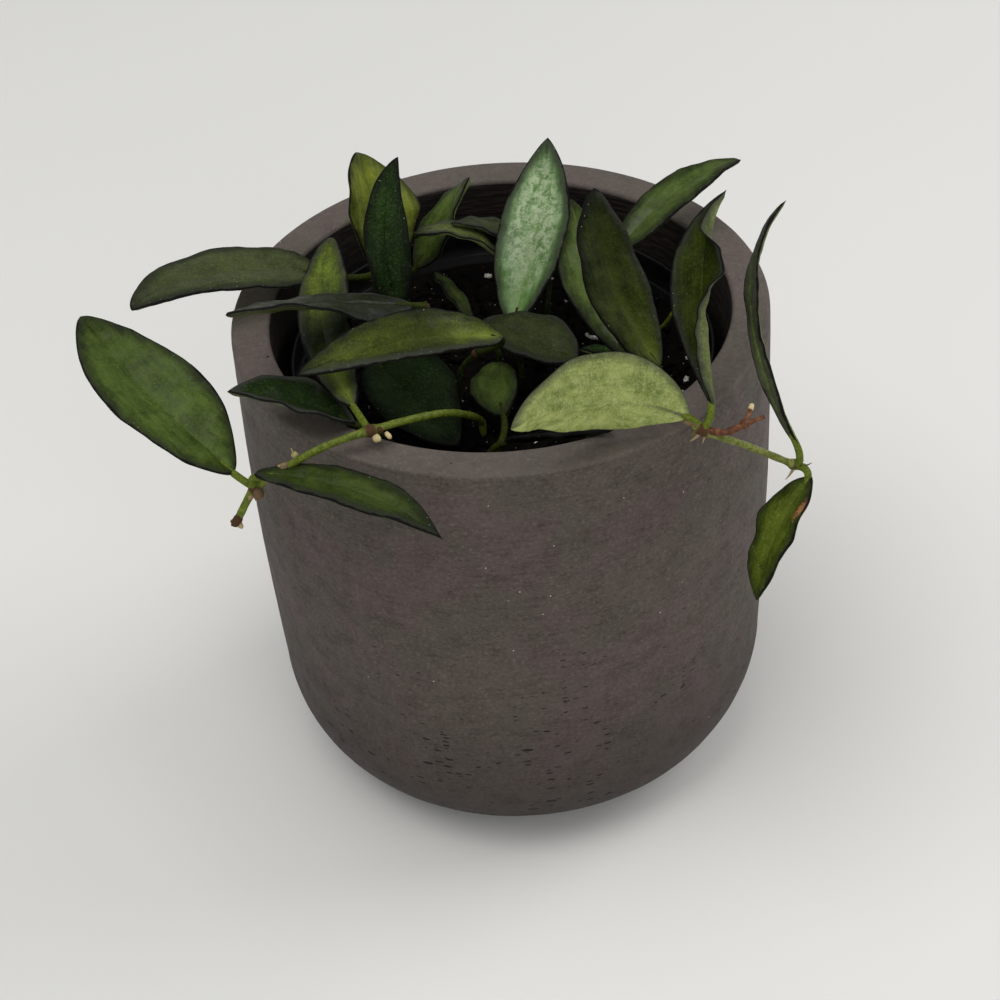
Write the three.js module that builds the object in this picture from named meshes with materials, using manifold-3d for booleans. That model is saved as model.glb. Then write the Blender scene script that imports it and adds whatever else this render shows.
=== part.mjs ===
// A potted hoya plant: a fibre-clay outer pot, the nursery pot that stands in it, the soil, the vines
// and the leaves. Millimetres, +Z up. The origin is the centre of the outer pot's base, and the front
// of the plant, where two vines hang over the rim, faces -Y.
import * as THREE from "three";
import { mergeVertices } from "three/addons/utils/BufferGeometryUtils.js";
import Module from "manifold-3d";

const wasm = await Module();
wasm.setup();

// Driving dimensions of the outer pot
const POT_HEIGHT = 150;
const POT_RADIUS = 75;
const MOUTH_RADIUS = 64.7;
const SHOULDER_RADIUS = 73.2;
const SHOULDER_HEIGHT = 35;
const WALL_BULGE = 1.1;
const FOOT_RADIUS = 42.5;
const RIM_ROUNDING = 1.2;
const POT_FLOOR = 16;
const CAVITY_FLOOR_RADIUS = 48;
const CAVITY_ROUNDING = 26;
const CAVITY_TAPER = 1.2;

// Driving dimensions of the nursery pot, a standard one of 12 cm
const NURSERY_HEIGHT = 120;
const NURSERY_RIM_RADIUS = 60.2;
const NURSERY_NECK_RADIUS = 58.4;
const NURSERY_BASE_RADIUS = 44;
const NURSERY_WALL = 1.1;
const NURSERY_LIP = 8;
const DRAIN_HOLES = 6;
const DRAIN_RADIUS = 4;
const DRAIN_CIRCLE = 30;

// Driving dimensions of the soil and the plant
const SOIL_HEIGHT = 126;
const SOIL_ROUGHNESS = 1.1;
const ROOT_HEIGHT = 112;
const COLLAR_HEIGHT = 128.5;
const HOLE_CLEARANCE = 0.6;
const BLADE_THICKNESS = 1.5;
const EDGE_THICKNESS = 0.8;
const LEAF_STALK_RADIUS = 1;
const STALK_SUNK = 3;
const ROW_LENGTH = 6.5;
const BLADE_COLUMNS = 4;
const GAP = 0.3;
const AROUND = 48;

const CLAY = new THREE.MeshStandardMaterial({ color: 0x6a605c, roughness: 0.85, metalness: 0 });
const NURSERY_PLASTIC = new THREE.MeshStandardMaterial({ color: 0x1c1c1d, roughness: 0.45, metalness: 0 });
const PEAT = new THREE.MeshStandardMaterial({ color: 0x1f1812, roughness: 0.95, metalness: 0 });
const VINE_GREEN = new THREE.MeshStandardMaterial({ color: 0x6f7f35, roughness: 0.5, metalness: 0 });
const STALK_RED = new THREE.MeshStandardMaterial({ color: 0x9a4a2e, roughness: 0.6, metalness: 0 });
const LEAF_DARK = new THREE.MeshStandardMaterial({ color: 0x2c4223, roughness: 0.35, metalness: 0 });
const LEAF_OLIVE = new THREE.MeshStandardMaterial({ color: 0x45542a, roughness: 0.38, metalness: 0 });
const LEAF_SILVER = new THREE.MeshStandardMaterial({ color: 0x5d7a58, roughness: 0.28, metalness: 0 });
const LEAF_LIME = new THREE.MeshStandardMaterial({ color: 0x6b7a2c, roughness: 0.4, metalness: 0 });
const LEAF_PALE = new THREE.MeshStandardMaterial({ color: 0x9fab66, roughness: 0.5, metalness: 0 });

// Each vine: where its root stands in the soil, and its route from there. The soil end is straight.
// Knots are the swollen nodes where leaves sit, named by their place in the route.
const VINES = [
  {
    name: "front_vine", root: [-7, -27], radius: 1.5, knot: 2.3, knots: [3, 6],
    route: [
      [-10, -35, 139], [-17, -46, 149], [-26, -53, 153], [-36, -59, 155],
      [-46, -62, 154], [-57, -63, 149], [-67, -63, 142], [-73, -65, 133],
    ],
    buds: [[-34, -60, 153.5, 1.4], [-31.3, -58.3, 153.4, 1.3], [-56.5, -62, 150.8, 1.1], [-73, -65, 133, 1.9]],
  },
  {
    name: "right_vine", root: [32, -34], radius: 1.4, knot: 2.2, knots: [3, 5],
    route: [[33, -42, 143], [37, -51, 152], [43, -59, 154.5], [50, -66, 153], [62, -64, 145], [75, -61, 135]],
    buds: [[48, -64, 154, 2]],
  },
  { name: "left_vine", root: [-30, 14], route: [[-33, 17, 138], [-36, 19, 150]], knots: [1] },
  {
    name: "back_left_vine", root: [-30, 30], knots: [1, 2],
    route: [[-29, 32, 136], [-28, 33, 141], [-28, 36, 150]],
  },
  {
    name: "centre_left_vine", root: [-20, -4], knots: [1, 3],
    route: [[-22, -2, 136], [-24, 0, 143], [-22, -6, 153], [-20, -9, 158]],
  },
  { name: "centre_vine", root: [-13, -12], route: [[-12, -13, 138], [-7, -17, 147]], knots: [1] },
  { name: "silver_vine", root: [5, -3], route: [[5, -2, 136]], knots: [0] },
  { name: "front_centre_vine", root: [22, -36], route: [[23, -33, 136], [25, -29, 144]], knots: [1] },
  { name: "low_vine", root: [-6, -42], route: [[-5, -46, 134]], knots: [0] },
  { name: "low_left_vine", root: [-40, 2], route: [[-41, 0, 133]], knots: [0] },
  { name: "front_left_vine", root: [-30, -38], route: [[-33, -44, 141]], knots: [0] },
  { name: "back_centre_vine", root: [14, 26], route: [[15, 29, 136], [14, 31, 143]], knots: [1] },
  { name: "back_right_vine", root: [26, 14], route: [[26, 15, 136], [27, 16, 142]], knots: [1] },
  { name: "right_inner_vine", root: [42, -18], route: [[40, -18, 133], [43, -27, 138]], knots: [0, 1] },
  { name: "middle_vine", root: [-1, 4], route: [[-3, 6, 134]], knots: [0] },
  { name: "bare_stalk", root: [45, 10], route: [[47, 9, 133], [50, 8, 139]], knots: [], radius: 0.8 },
];

// Each leaf grows at a knot of a vine. Its blade starts at base and runs length along a heading (degrees
// from +X towards +Y) and a rise (degrees above level). Roll turns the blade about its midrib, left side
// up. Over the length, bend droops the tip, sway turns it to the left, and twist adds to the roll. Fold
// is how far the margins are raised, curl is how far each half bends on its way there, and wave is how
// far the margins ripple. A low blunt makes a round base, a low tip a round tip, and a low belly brings
// the widest place nearer to the base. A list of values runs from base to tip, and a list in left or
// right widens or narrows that half.
const LEAVES = [
  {
    name: "leaf_far_left", vine: "front_vine", knot: 6, base: [-72.5, -61, 145.5], colour: LEAF_DARK,
    heading: 144, rise: 28, length: 67, width: 25, bend: 22, sway: -23, twist: -18, fold: 15, blunt: 0.7,
    belly: 0.86, left: [1, 0.97, 1, 0.9], right: [1, 1.2, 1.12, 1.02, 1],
  },
  {
    name: "leaf_low_left", vine: "front_vine", knot: 6, base: [-66.6, -65, 148], colour: LEAF_DARK,
    heading: 352, rise: -2, length: 56.5, width: 14, bend: 4, sway: -42, fold: 10, blunt: 0.6, tip: 1.1,
    left: [1, 1, 1, 1.15, 1.1], wave: 0.2,
  },
  {
    name: "leaf_upper_left", vine: "left_vine", knot: 1, base: [-50, 15, 154], colour: LEAF_OLIVE,
    heading: 174, rise: 14, length: 64, width: 22, sway: 74, twist: 12, fold: 6, blunt: 0.7, belly: 0.7,
  },
  {
    name: "leaf_thin_left", vine: "centre_left_vine", knot: 3, base: [-24, -10, 159], colour: LEAF_DARK,
    heading: 203, rise: 24.5, roll: 10, length: 67.5, width: 16, bend: 7, sway: 32, twist: 30, fold: 8,
    leftFold: [-30, -35, -5, 8, 8], blunt: 0.65, belly: 0.75, left: 0.9, wave: 0.2,
  },
  {
    name: "leaf_left_upright", vine: "front_vine", knot: 3, base: [-40, -49.5, 155.7], colour: LEAF_OLIVE,
    heading: 114, rise: 6.5, roll: -8, length: 68, width: 15, sway: -38, blunt: 0.6,
    left: [0.9, 0.85, 0.9, 1], right: [1, 1, 1.1, 1.3, 1.3],
  },
  {
    name: "leaf_centre_left", vine: "centre_vine", knot: 1, base: [0.5, -22, 154.5], colour: LEAF_OLIVE,
    heading: 210, rise: 31, roll: -28, length: 62, width: 17, bend: 44, sway: 10, twist: -7, fold: 18,
    blunt: 0.75, left: [1, 0.8, 0.72, 0.75, 0.8],
  },
  {
    name: "leaf_over_left_rim", vine: "front_left_vine", knot: 0, base: [-40, -50.5, 150.9],
    colour: LEAF_DARK, heading: 168, rise: 22, roll: 13, length: 35, width: 21, bend: 4, sway: 20, twist: 6,
    fold: 20, blunt: 0.8, tip: 0.85, belly: 0.95,
  },
  {
    name: "leaf_low_dark", vine: "low_left_vine", knot: 0, base: [-36.5, -4, 137], colour: LEAF_DARK,
    heading: 300, rise: -2, roll: 6, length: 45, width: 23, blunt: 0.6, left: [1.3, 1.3, 1.2, 0.95, 0.8],
  },
  {
    name: "leaf_back_left_broad", vine: "left_vine", knot: 1, base: [-30.5, 25, 148], colour: LEAF_LIME,
    heading: 126, rise: 66, roll: 7, length: 35, width: 27.5, bend: 20, sway: -26, twist: 18, fold: 18,
    blunt: 0.7, tip: 0.6, right: [1, 0.95, 1.1, 1.05, 1],
  },
  {
    name: "leaf_back_left_tall", vine: "centre_left_vine", knot: 1, base: [-29, 5, 147.5], colour: LEAF_DARK,
    heading: 117, rise: 63, roll: 3, length: 46, width: 14.8, bend: 33, sway: -45, twist: -22, fold: 27,
    blunt: 0.78, belly: 0.7, right: [1, 1, 1, 0.92, 0.85],
  },
  {
    name: "leaf_back_pointed", vine: "back_left_vine", knot: 1, base: [-24, 40.5, 136.5], colour: LEAF_DARK,
    heading: 34, rise: 44, length: 33.5, width: 20, bend: -20, sway: -25, twist: -38, fold: 8,
  },
  {
    name: "leaf_back_arched", vine: "back_left_vine", knot: 2, base: [-22.5, 33, 153.6], colour: LEAF_SILVER,
    heading: 348, rise: 21, roll: -5, length: 28, width: 11, bend: 58, sway: -14, twist: -30, blunt: 0.55,
    belly: 0.75,
  },
  {
    name: "leaf_back_small", vine: "back_centre_vine", knot: 1, base: [8, 30.5, 148], colour: LEAF_SILVER,
    heading: 167, rise: 41, roll: 8, length: 23, width: 14, bend: 36, sway: 8, twist: 24,
  },
  {
    name: "leaf_silvery", vine: "silver_vine", knot: 0, base: [3.7, 2, 141.5], colour: LEAF_SILVER,
    heading: 65, rise: 38, roll: -15, length: 58, width: 22, bend: 6, sway: 15, twist: 24, fold: 13,
    blunt: 0.62, tip: 0.8, belly: 0.86, right: 0.95,
  },
  {
    name: "leaf_right_inner", vine: "right_inner_vine", knot: 0, base: [33.5, -14, 138.5], colour: LEAF_DARK,
    heading: 108, rise: 31, length: 56, width: 17, bend: 16, sway: -10, twist: -6,
    left: [1, 1.15, 1.22, 1.1, 1],
  },
  {
    name: "leaf_right_olive", vine: "right_inner_vine", knot: 1, base: [42.5, -25.5, 143.5],
    colour: LEAF_OLIVE, heading: 147, rise: 46, length: 53, width: 22, bend: -18, sway: -36, twist: -12,
    blunt: 0.7, tip: 0.62, left: [1, 1.02, 1.08, 1.08, 1],
  },
  {
    name: "leaf_back_right", vine: "back_right_vine", knot: 1, base: [33, 20.5, 149], colour: LEAF_DARK,
    heading: 24, rise: 42, roll: 15, length: 53, width: 14, bend: 58, sway: 13, twist: -17, blunt: 0.73,
    wave: 0.15,
  },
  {
    name: "leaf_right_folded", vine: "right_vine", knot: 3, base: [52.8, -64, 158], colour: LEAF_OLIVE,
    heading: 91, rise: 37, roll: -4, length: 59.5, width: 20, bend: [-4, -10, -10, 30],
    sway: [0, -8, -50, -120], fold: 10, rightFold: [100, 120, 118, 112, 100, 85, 60, 60, 110, 115, 90],
    rightCurl: [20, 40, 50, 40, 30, 20, 20, 30, 50, 30, 10], blunt: 0.85, tip: 1, belly: 1.05,
    left: [0.72, 0.8, 0.88, 0.9, 0.85],
  },
  {
    name: "leaf_far_right_tall", vine: "right_vine", knot: 5, base: [76, -62, 141], colour: LEAF_DARK,
    heading: 130, rise: 46, roll: -82, length: 76, width: 7.2, bend: [66, 66, 80, 96], sway: [5, 2, -15, -60],
    fold: 14, blunt: 0.65, left: 0.8, right: 0.8,
  },
  {
    name: "leaf_far_right_hanging", vine: "right_vine", knot: 5, base: [79, -64, 133], colour: LEAF_DARK,
    heading: 209, rise: -46, length: 36.5, width: 15, bend: 16, sway: 16, twist: 14, fold: 14, blunt: 0.68,
    left: 0.95, right: [0.92, 1, 1.05, 1.12, 0.98, 1.12, 1.18, 1],
  },
  {
    name: "leaf_pale_underside", vine: "right_vine", knot: 3, base: [47, -64, 156], colour: LEAF_PALE,
    heading: 180, rise: 31, roll: 98, length: 55, width: 26, bend: 42, sway: -28, fold: 20, blunt: 0.78,
  },
  {
    name: "leaf_centre_front", vine: "front_centre_vine", knot: 1, base: [20, -21.5, 144.5],
    colour: LEAF_OLIVE, heading: 138, rise: 5, roll: -5, length: 34, width: 20, bend: 10, twist: 10,
    blunt: 0.68,
  },
  {
    name: "leaf_centre_small", vine: "low_vine", knot: 0, base: [-0.5, -34, 136.5], colour: LEAF_OLIVE,
    heading: 103, rise: 15, roll: -18, length: 27, width: 14.5, bend: 36,
  },
  {
    name: "leaf_front_thin", vine: "low_vine", knot: 0, base: [-1.5, -48, 139.5], colour: LEAF_DARK,
    heading: 335, rise: 21, roll: -36, length: 35, width: 11, sway: -4, twist: 24, wave: 0.3,
  },
  {
    name: "leaf_right_small", vine: "right_inner_vine", knot: 0, base: [39, -7, 133], colour: LEAF_DARK,
    heading: 166, rise: 8, roll: 20, length: 18, width: 10, sway: 15,
  },
  {
    name: "leaf_centre_narrow", vine: "middle_vine", knot: 0, base: [-8, 9, 137], colour: LEAF_DARK,
    heading: 111, rise: 18, roll: 20, length: 28, width: 6, bend: 26, sway: -5, blunt: 0.7,
  },
];

const FOLD = 12;
const CURL = -16;
const WAVE = 0.4;
const WAVES = 3;
const WAVE_LAG = 2;
const BELLY = 0.9;
const BLUNT = 0.85;
const LEAST_HALF_WIDTH = 0.4;

// Closed geometry to solid and back

function solidOf(geometry) {
  const bare = geometry.clone();
  bare.deleteAttribute("normal");
  bare.deleteAttribute("uv");
  const merged = mergeVertices(bare, 1e-4);
  const index = merged.index.array;
  const kept = [];
  for (let i = 0; i < index.length; i += 3) {
    const [a, b, c] = [index[i], index[i + 1], index[i + 2]];
    if (a !== b && b !== c && c !== a) kept.push(a, b, c);
  }
  const mesh = new wasm.Mesh({
    numProp: 3,
    vertProperties: new Float32Array(merged.attributes.position.array),
    triVerts: new Uint32Array(kept),
  });
  return new wasm.Manifold(mesh);
}

function geometryOf(solid) {
  const { vertProperties, triVerts, numProp } = solid.getMesh();
  const positions = new Float32Array(triVerts.length * 3);
  triVerts.forEach((vertex, i) => {
    for (let axis = 0; axis < 3; axis += 1) positions[i * 3 + axis] = vertProperties[vertex * numProp + axis];
  });
  const geometry = new THREE.BufferGeometry();
  geometry.setAttribute("position", new THREE.BufferAttribute(positions, 3));
  geometry.computeVertexNormals();
  return geometry;
}

function joined(solids) {
  return solids.reduce((whole, solid) => whole.add(solid));
}

function largestPiece(solid) {
  const pieces = solid.decompose();
  return pieces.reduce((best, piece) => (piece.volume() > best.volume() ? piece : best));
}

function vector([x, y, z]) {
  return new THREE.Vector3(x, y, z);
}

// A turned body, from a profile of radius and height that starts and ends on the axis
function turned(profile) {
  const points = profile.map(([radius, height]) => new THREE.Vector2(radius, height));
  return new THREE.LatheGeometry(points, AROUND).rotateX(Math.PI / 2);
}

// Points of a quarter ellipse between two points, leaving the first level and meeting the second upright
function quarterRound([r0, z0], [r1, z1], steps) {
  return Array.from({ length: steps + 1 }, (_, i) => {
    const angle = (i / steps) * (Math.PI / 2);
    return [r0 + (r1 - r0) * Math.sin(angle), z0 + (z1 - z0) * (1 - Math.cos(angle))];
  });
}

function rod(points, radius, sides, steps) {
  const curve = new THREE.CatmullRomCurve3(points.map(vector), false, "centripetal");
  return rodAlong(curve, radius, sides, steps);
}

function rodAlong(curve, radius, sides, steps) {
  const corners = Array.from({ length: sides }, (_, i) => {
    const angle = (i / sides) * 2 * Math.PI;
    return new THREE.Vector2(radius * Math.cos(angle), radius * Math.sin(angle));
  });
  return new THREE.ExtrudeGeometry(new THREE.Shape(corners), { steps, extrudePath: curve });
}

function ball([x, y, z], radius) {
  return new THREE.SphereGeometry(radius, 6, 4).translate(x, y, z);
}

// The outer pot

function outerPot() {
  const wall = Array.from({ length: 3 }, (_, i) => {
    const part = (i + 1) / 3;
    const radius = SHOULDER_RADIUS + (POT_RADIUS - SHOULDER_RADIUS) * part + WALL_BULGE * 4 * part * (1 - part);
    return [radius, SHOULDER_HEIGHT + (POT_HEIGHT - RIM_ROUNDING - SHOULDER_HEIGHT) * part];
  });
  const cavityRadius = MOUTH_RADIUS - CAVITY_TAPER;
  const profile = [
    [0, 0],
    ...quarterRound([FOOT_RADIUS, 0], [SHOULDER_RADIUS, SHOULDER_HEIGHT], 5),
    ...wall,
    [POT_RADIUS - RIM_ROUNDING * 0.3, POT_HEIGHT - RIM_ROUNDING * 0.3],
    [POT_RADIUS - RIM_ROUNDING, POT_HEIGHT],
    [MOUTH_RADIUS + RIM_ROUNDING, POT_HEIGHT],
    [MOUTH_RADIUS + RIM_ROUNDING * 0.3, POT_HEIGHT - RIM_ROUNDING * 0.3],
    [MOUTH_RADIUS, POT_HEIGHT - RIM_ROUNDING],
    ...quarterRound([CAVITY_FLOOR_RADIUS, POT_FLOOR], [cavityRadius, POT_FLOOR + CAVITY_ROUNDING], 3).reverse(),
    [0, POT_FLOOR],
  ];
  return solidOf(turned(profile));
}

// The nursery pot and its drain holes

const NURSERY_BASE = POT_FLOOR + GAP;
const NURSERY_TOP = NURSERY_BASE + NURSERY_HEIGHT;

function nurseryRadius(height) {
  const part = (height - NURSERY_BASE) / (NURSERY_HEIGHT - NURSERY_LIP);
  return NURSERY_BASE_RADIUS + (NURSERY_NECK_RADIUS - NURSERY_BASE_RADIUS) * part;
}

function nurseryPot() {
  const neck = NURSERY_TOP - NURSERY_LIP;
  const inside = NURSERY_BASE + NURSERY_WALL;
  const profile = [
    [0, NURSERY_BASE],
    [NURSERY_BASE_RADIUS, NURSERY_BASE],
    [nurseryRadius(neck), neck],
    [NURSERY_RIM_RADIUS, neck],
    [NURSERY_RIM_RADIUS, NURSERY_TOP],
    [NURSERY_RIM_RADIUS - NURSERY_WALL, NURSERY_TOP],
    [nurseryRadius(neck) - NURSERY_WALL, neck - NURSERY_WALL],
    [nurseryRadius(inside) - NURSERY_WALL, inside],
    [0, inside],
  ];
  const holes = Array.from({ length: DRAIN_HOLES }, (_, i) => {
    const angle = (i / DRAIN_HOLES) * 2 * Math.PI;
    const hole = new THREE.CylinderGeometry(DRAIN_RADIUS, DRAIN_RADIUS, 4 * NURSERY_WALL, 8).rotateX(Math.PI / 2);
    hole.translate(DRAIN_CIRCLE * Math.cos(angle), DRAIN_CIRCLE * Math.sin(angle), NURSERY_BASE);
    return solidOf(hole);
  });
  return solidOf(turned(profile)).subtract(joined(holes));
}

// The soil, with an uneven top and a plain hole for each vine

function soilLift(x, y, height) {
  const reach = Math.hypot(x, y) / (nurseryRadius(SOIL_HEIGHT) - NURSERY_WALL);
  const onTop = height > SOIL_HEIGHT - 0.5 ? Math.max(0, 1 - reach ** 4) : 0;
  const unevenness = Math.sin(x * 0.19 + 1) * Math.cos(y * 0.16) + 0.5 * Math.sin(x * 0.31 - y * 0.27);
  return SOIL_ROUGHNESS * onTop * unevenness;
}

function soil() {
  const floor = NURSERY_BASE + NURSERY_WALL + GAP;
  const topRadius = nurseryRadius(SOIL_HEIGHT) - NURSERY_WALL - GAP;
  const profile = [
    [0, floor],
    [nurseryRadius(floor) - NURSERY_WALL - GAP, floor],
    [topRadius, SOIL_HEIGHT],
    ...[0.82, 0.6, 0.4, 0.2].map((part) => [topRadius * part, SOIL_HEIGHT]),
    [0, SOIL_HEIGHT],
  ];
  const body = turned(profile);
  const position = body.attributes.position;
  for (let i = 0; i < position.count; i += 1) {
    const [x, y, z] = [position.getX(i), position.getY(i), position.getZ(i)];
    position.setZ(i, z + soilLift(x, y, z));
  }
  const holes = VINES.map(({ root: [x, y], radius = 1.2 }) => {
    const wide = radius + HOLE_CLEARANCE;
    const deep = COLLAR_HEIGHT + 2 - (ROOT_HEIGHT - GAP);
    const hole = new THREE.CylinderGeometry(wide, wide, deep, 8).rotateX(Math.PI / 2);
    return solidOf(hole.translate(x, y, ROOT_HEIGHT - GAP + deep / 2));
  });
  return solidOf(body).subtract(joined(holes));
}

// The vines: a rod with swollen knots and small buds. Extra makes the slightly larger solid that
// neighbours are cut with.

function vineSolid({ root: [x, y], route, knots, buds = [], radius = 1.2, knot = 1.9 }, extra = 0) {
  const points = [[x, y, ROOT_HEIGHT], [x, y, COLLAR_HEIGHT], [x, y, COLLAR_HEIGHT + 1.5], ...route];
  const [sides, steps] = route.length > 4 ? [7, 2 * points.length] : [6, points.length + 1];
  const stem = solidOf(rod(points, radius + extra, sides, steps));
  const swellings = knots.map((i) => solidOf(ball(route[i], knot + extra)));
  const tips = buds.map(([bx, by, bz, size]) => solidOf(ball([bx, by, bz], size + extra)));
  return joined([stem, ...swellings, ...tips]);
}

// The red flower stalk on the right vine, which forks in two

function flowerStalk() {
  const fork = [61, -66, 154];
  const stalk = rod([[50, -66, 153], [56, -67.5, 153], fork], 0.9, 6, 4);
  const prongs = [[63, -61, 155], [66, -66, 156]].map((tip) => rod([fork, tip], 0.6, 5, 1));
  return joined([stalk, ...prongs, ball(fork, 1.2)].map((piece) => (piece.isBufferGeometry ? solidOf(piece) : piece)));
}

// The leaves

// A value that holds for the whole leaf, or the one at a part of its length where it is a list
function valueAt(value, part) {
  if (!Array.isArray(value)) return value;
  const place = Math.min(Math.max(part, 0), 1) * (value.length - 1);
  const before = Math.min(Math.floor(place), value.length - 2);
  const share = THREE.MathUtils.smoothstep(place - before, 0, 1);
  return value[before] + (value[before + 1] - value[before]) * share;
}

function bladeFrames(leaf, rows) {
  const { heading, rise, roll = 0, bend = 0, sway = 0, twist = 0, length } = leaf;
  const h = THREE.MathUtils.degToRad(heading);
  const r = THREE.MathUtils.degToRad(rise);
  const along = new THREE.Vector3(Math.cos(h) * Math.cos(r), Math.sin(h) * Math.cos(r), Math.sin(r));
  const left = new THREE.Vector3(-Math.sin(h), Math.cos(h), 0);
  left.applyAxisAngle(along, THREE.MathUtils.degToRad(roll));
  const point = vector(leaf.base);
  const frames = [];
  for (let k = 0; k <= rows; k += 1) {
    const up = along.clone().cross(left);
    frames.push({ point: point.clone(), along: along.clone(), left: left.clone(), up });
    const turn = (degrees) => THREE.MathUtils.degToRad(valueAt(degrees, (k + 0.5) / rows)) / rows / 2;
    for (const move of [length / rows, 0]) {
      along.applyAxisAngle(left, turn(bend));
      const axis = along.clone().cross(left);
      along.applyAxisAngle(axis, turn(sway));
      left.applyAxisAngle(axis, turn(sway));
      left.applyAxisAngle(along, turn(twist));
      point.addScaledVector(along, move);
    }
  }
  return frames;
}

// Half the blade's width at a part of its length, before the two sides differ
function halfWidth({ width, blunt = BLUNT, tip = blunt, belly = BELLY }, part) {
  const inside = Math.min(Math.max(part, 0), 1);
  const swell = Math.max(Math.sin(Math.PI * inside ** belly), 0);
  return Math.max((width / 2) * swell ** (blunt + (tip - blunt) * inside), LEAST_HALF_WIDTH);
}

// The blade's upper and lower point at a part of its length and a side from -1 to 1. Each half is an
// arc from the midrib to its margin.
function bladePoints(leaf, frame, part, side) {
  const { width, fold = FOLD, curl = CURL, wave = WAVE, left = 1, right = 1 } = leaf;
  const { leftFold = fold, rightFold = fold, leftCurl = curl, rightCurl = curl } = leaf;
  const half = halfWidth(leaf, part) * valueAt(side > 0 ? left : right, part);
  const raised = THREE.MathUtils.degToRad(valueAt(side > 0 ? leftFold : rightFold, part));
  const turn = THREE.MathUtils.degToRad(valueAt(side > 0 ? leftCurl : rightCurl, part)) || 0.001;
  const reach = Math.abs(side);
  const chord = (half * 2 * Math.sin((turn * reach) / 2)) / turn;
  const angle = raised + (turn * (reach - 1)) / 2;
  const outward = frame.left.clone().multiplyScalar(Math.sign(side));
  const phase = 2 * Math.PI * WAVES * part + (side > 0 ? WAVE_LAG : 0);
  const ripple = wave * side * side * Math.sin(phase) * Math.min(1, (1.3 * half) / (width / 2));
  const slope = side ? raised + turn * (reach - 0.5) : 0;
  const normal = frame.up.clone().multiplyScalar(Math.cos(slope)).addScaledVector(outward, -Math.sin(slope));
  const middle = frame.point.clone().addScaledVector(outward, chord * Math.cos(angle));
  middle.addScaledVector(frame.up, chord * Math.sin(angle)).addScaledVector(normal, ripple);
  const thick = EDGE_THICKNESS + (BLADE_THICKNESS - EDGE_THICKNESS) * (1 - side * side);
  return [0.5, -0.5].map((share) => middle.clone().addScaledVector(normal, share * thick));
}

// A closed blade: the same triangles on both faces, and a strip all round the margin
function bladeGeometry(leaf) {
  const rows = Math.max(6, Math.round(leaf.length / ROW_LENGTH));
  const columns = BLADE_COLUMNS;
  const positions = [];
  bladeFrames(leaf, rows).forEach((frame, row) => {
    for (let column = 0; column <= columns; column += 1) {
      const side = (2 * column) / columns - 1;
      bladePoints(leaf, frame, row / rows, side).forEach(({ x, y, z }) => positions.push(x, y, z));
    }
  });
  const upper = (row, column) => 2 * (row * (columns + 1) + column);
  const lower = (row, column) => upper(row, column) + 1;
  const faces = [];
  for (let row = 0; row < rows; row += 1) {
    for (let column = 0; column < columns; column += 1) {
      const corners = [[row, column], [row + 1, column], [row + 1, column + 1], [row, column + 1]];
      const [a, b, c, d] = corners.map((corner) => upper(...corner));
      const [e, f, g, h] = corners.map((corner) => lower(...corner));
      faces.push(a, b, c, a, c, d, e, g, f, e, h, g);
    }
  }
  const margin = [];
  for (let row = 0; row < rows; row += 1) margin.push([row, 0]);
  for (let column = 0; column < columns; column += 1) margin.push([rows, column]);
  for (let row = rows; row > 0; row -= 1) margin.push([row, columns]);
  for (let column = columns; column > 0; column -= 1) margin.push([0, column]);
  margin.forEach((here, i) => {
    const next = margin[(i + 1) % margin.length];
    const [a, b, c, d] = [upper(...here), upper(...next), lower(...next), lower(...here)];
    faces.push(a, d, c, a, c, b);
  });
  const geometry = new THREE.BufferGeometry();
  geometry.setAttribute("position", new THREE.Float32BufferAttribute(positions, 3));
  geometry.setIndex(faces);
  return geometry;
}

// The leaf stalk runs from the vine's knot into the blade, along the midrib's first stretch
function stalkGeometry(leaf, knotPoint) {
  const base = vector(leaf.base);
  const { along } = bladeFrames(leaf, 1)[0];
  const control = base.clone().addScaledVector(along, -0.5 * base.distanceTo(knotPoint));
  const sunk = base.clone().addScaledVector(along, STALK_SUNK);
  return rodAlong(new THREE.QuadraticBezierCurve3(knotPoint, control, sunk), LEAF_STALK_RADIUS, 5, 3);
}

function leafSolid(leaf) {
  const vine = VINES.find(({ name }) => name === leaf.vine);
  const stalk = solidOf(stalkGeometry(leaf, vector(vine.route[leaf.knot])));
  const whole = solidOf(bladeGeometry(leaf)).add(stalk);
  return largestPiece(whole.subtract(vineSolid(vine, GAP)));
}

// The plant and its pots

const plant = new THREE.Group();

function place(name, solid, material) {
  const mesh = new THREE.Mesh(geometryOf(solid), material);
  mesh.name = name;
  plant.add(mesh);
}

place("outer_pot", outerPot(), CLAY);
place("nursery_pot", nurseryPot(), NURSERY_PLASTIC);
place("soil", soil(), PEAT);
VINES.forEach((vine) => place(vine.name, vineSolid(vine), VINE_GREEN));
const rightVine = VINES.find(({ name }) => name === "right_vine");
place("flower_stalk", largestPiece(flowerStalk().subtract(vineSolid(rightVine, GAP))), STALK_RED);
LEAVES.forEach((leaf) => place(leaf.name, leafSolid(leaf), leaf.colour));

export default plant;
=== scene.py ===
"""The looks of a potted hoya plant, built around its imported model.

A pot of fibre clay holds a nursery pot with soil, and vines and leaves grow from the soil.
"""

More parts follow.
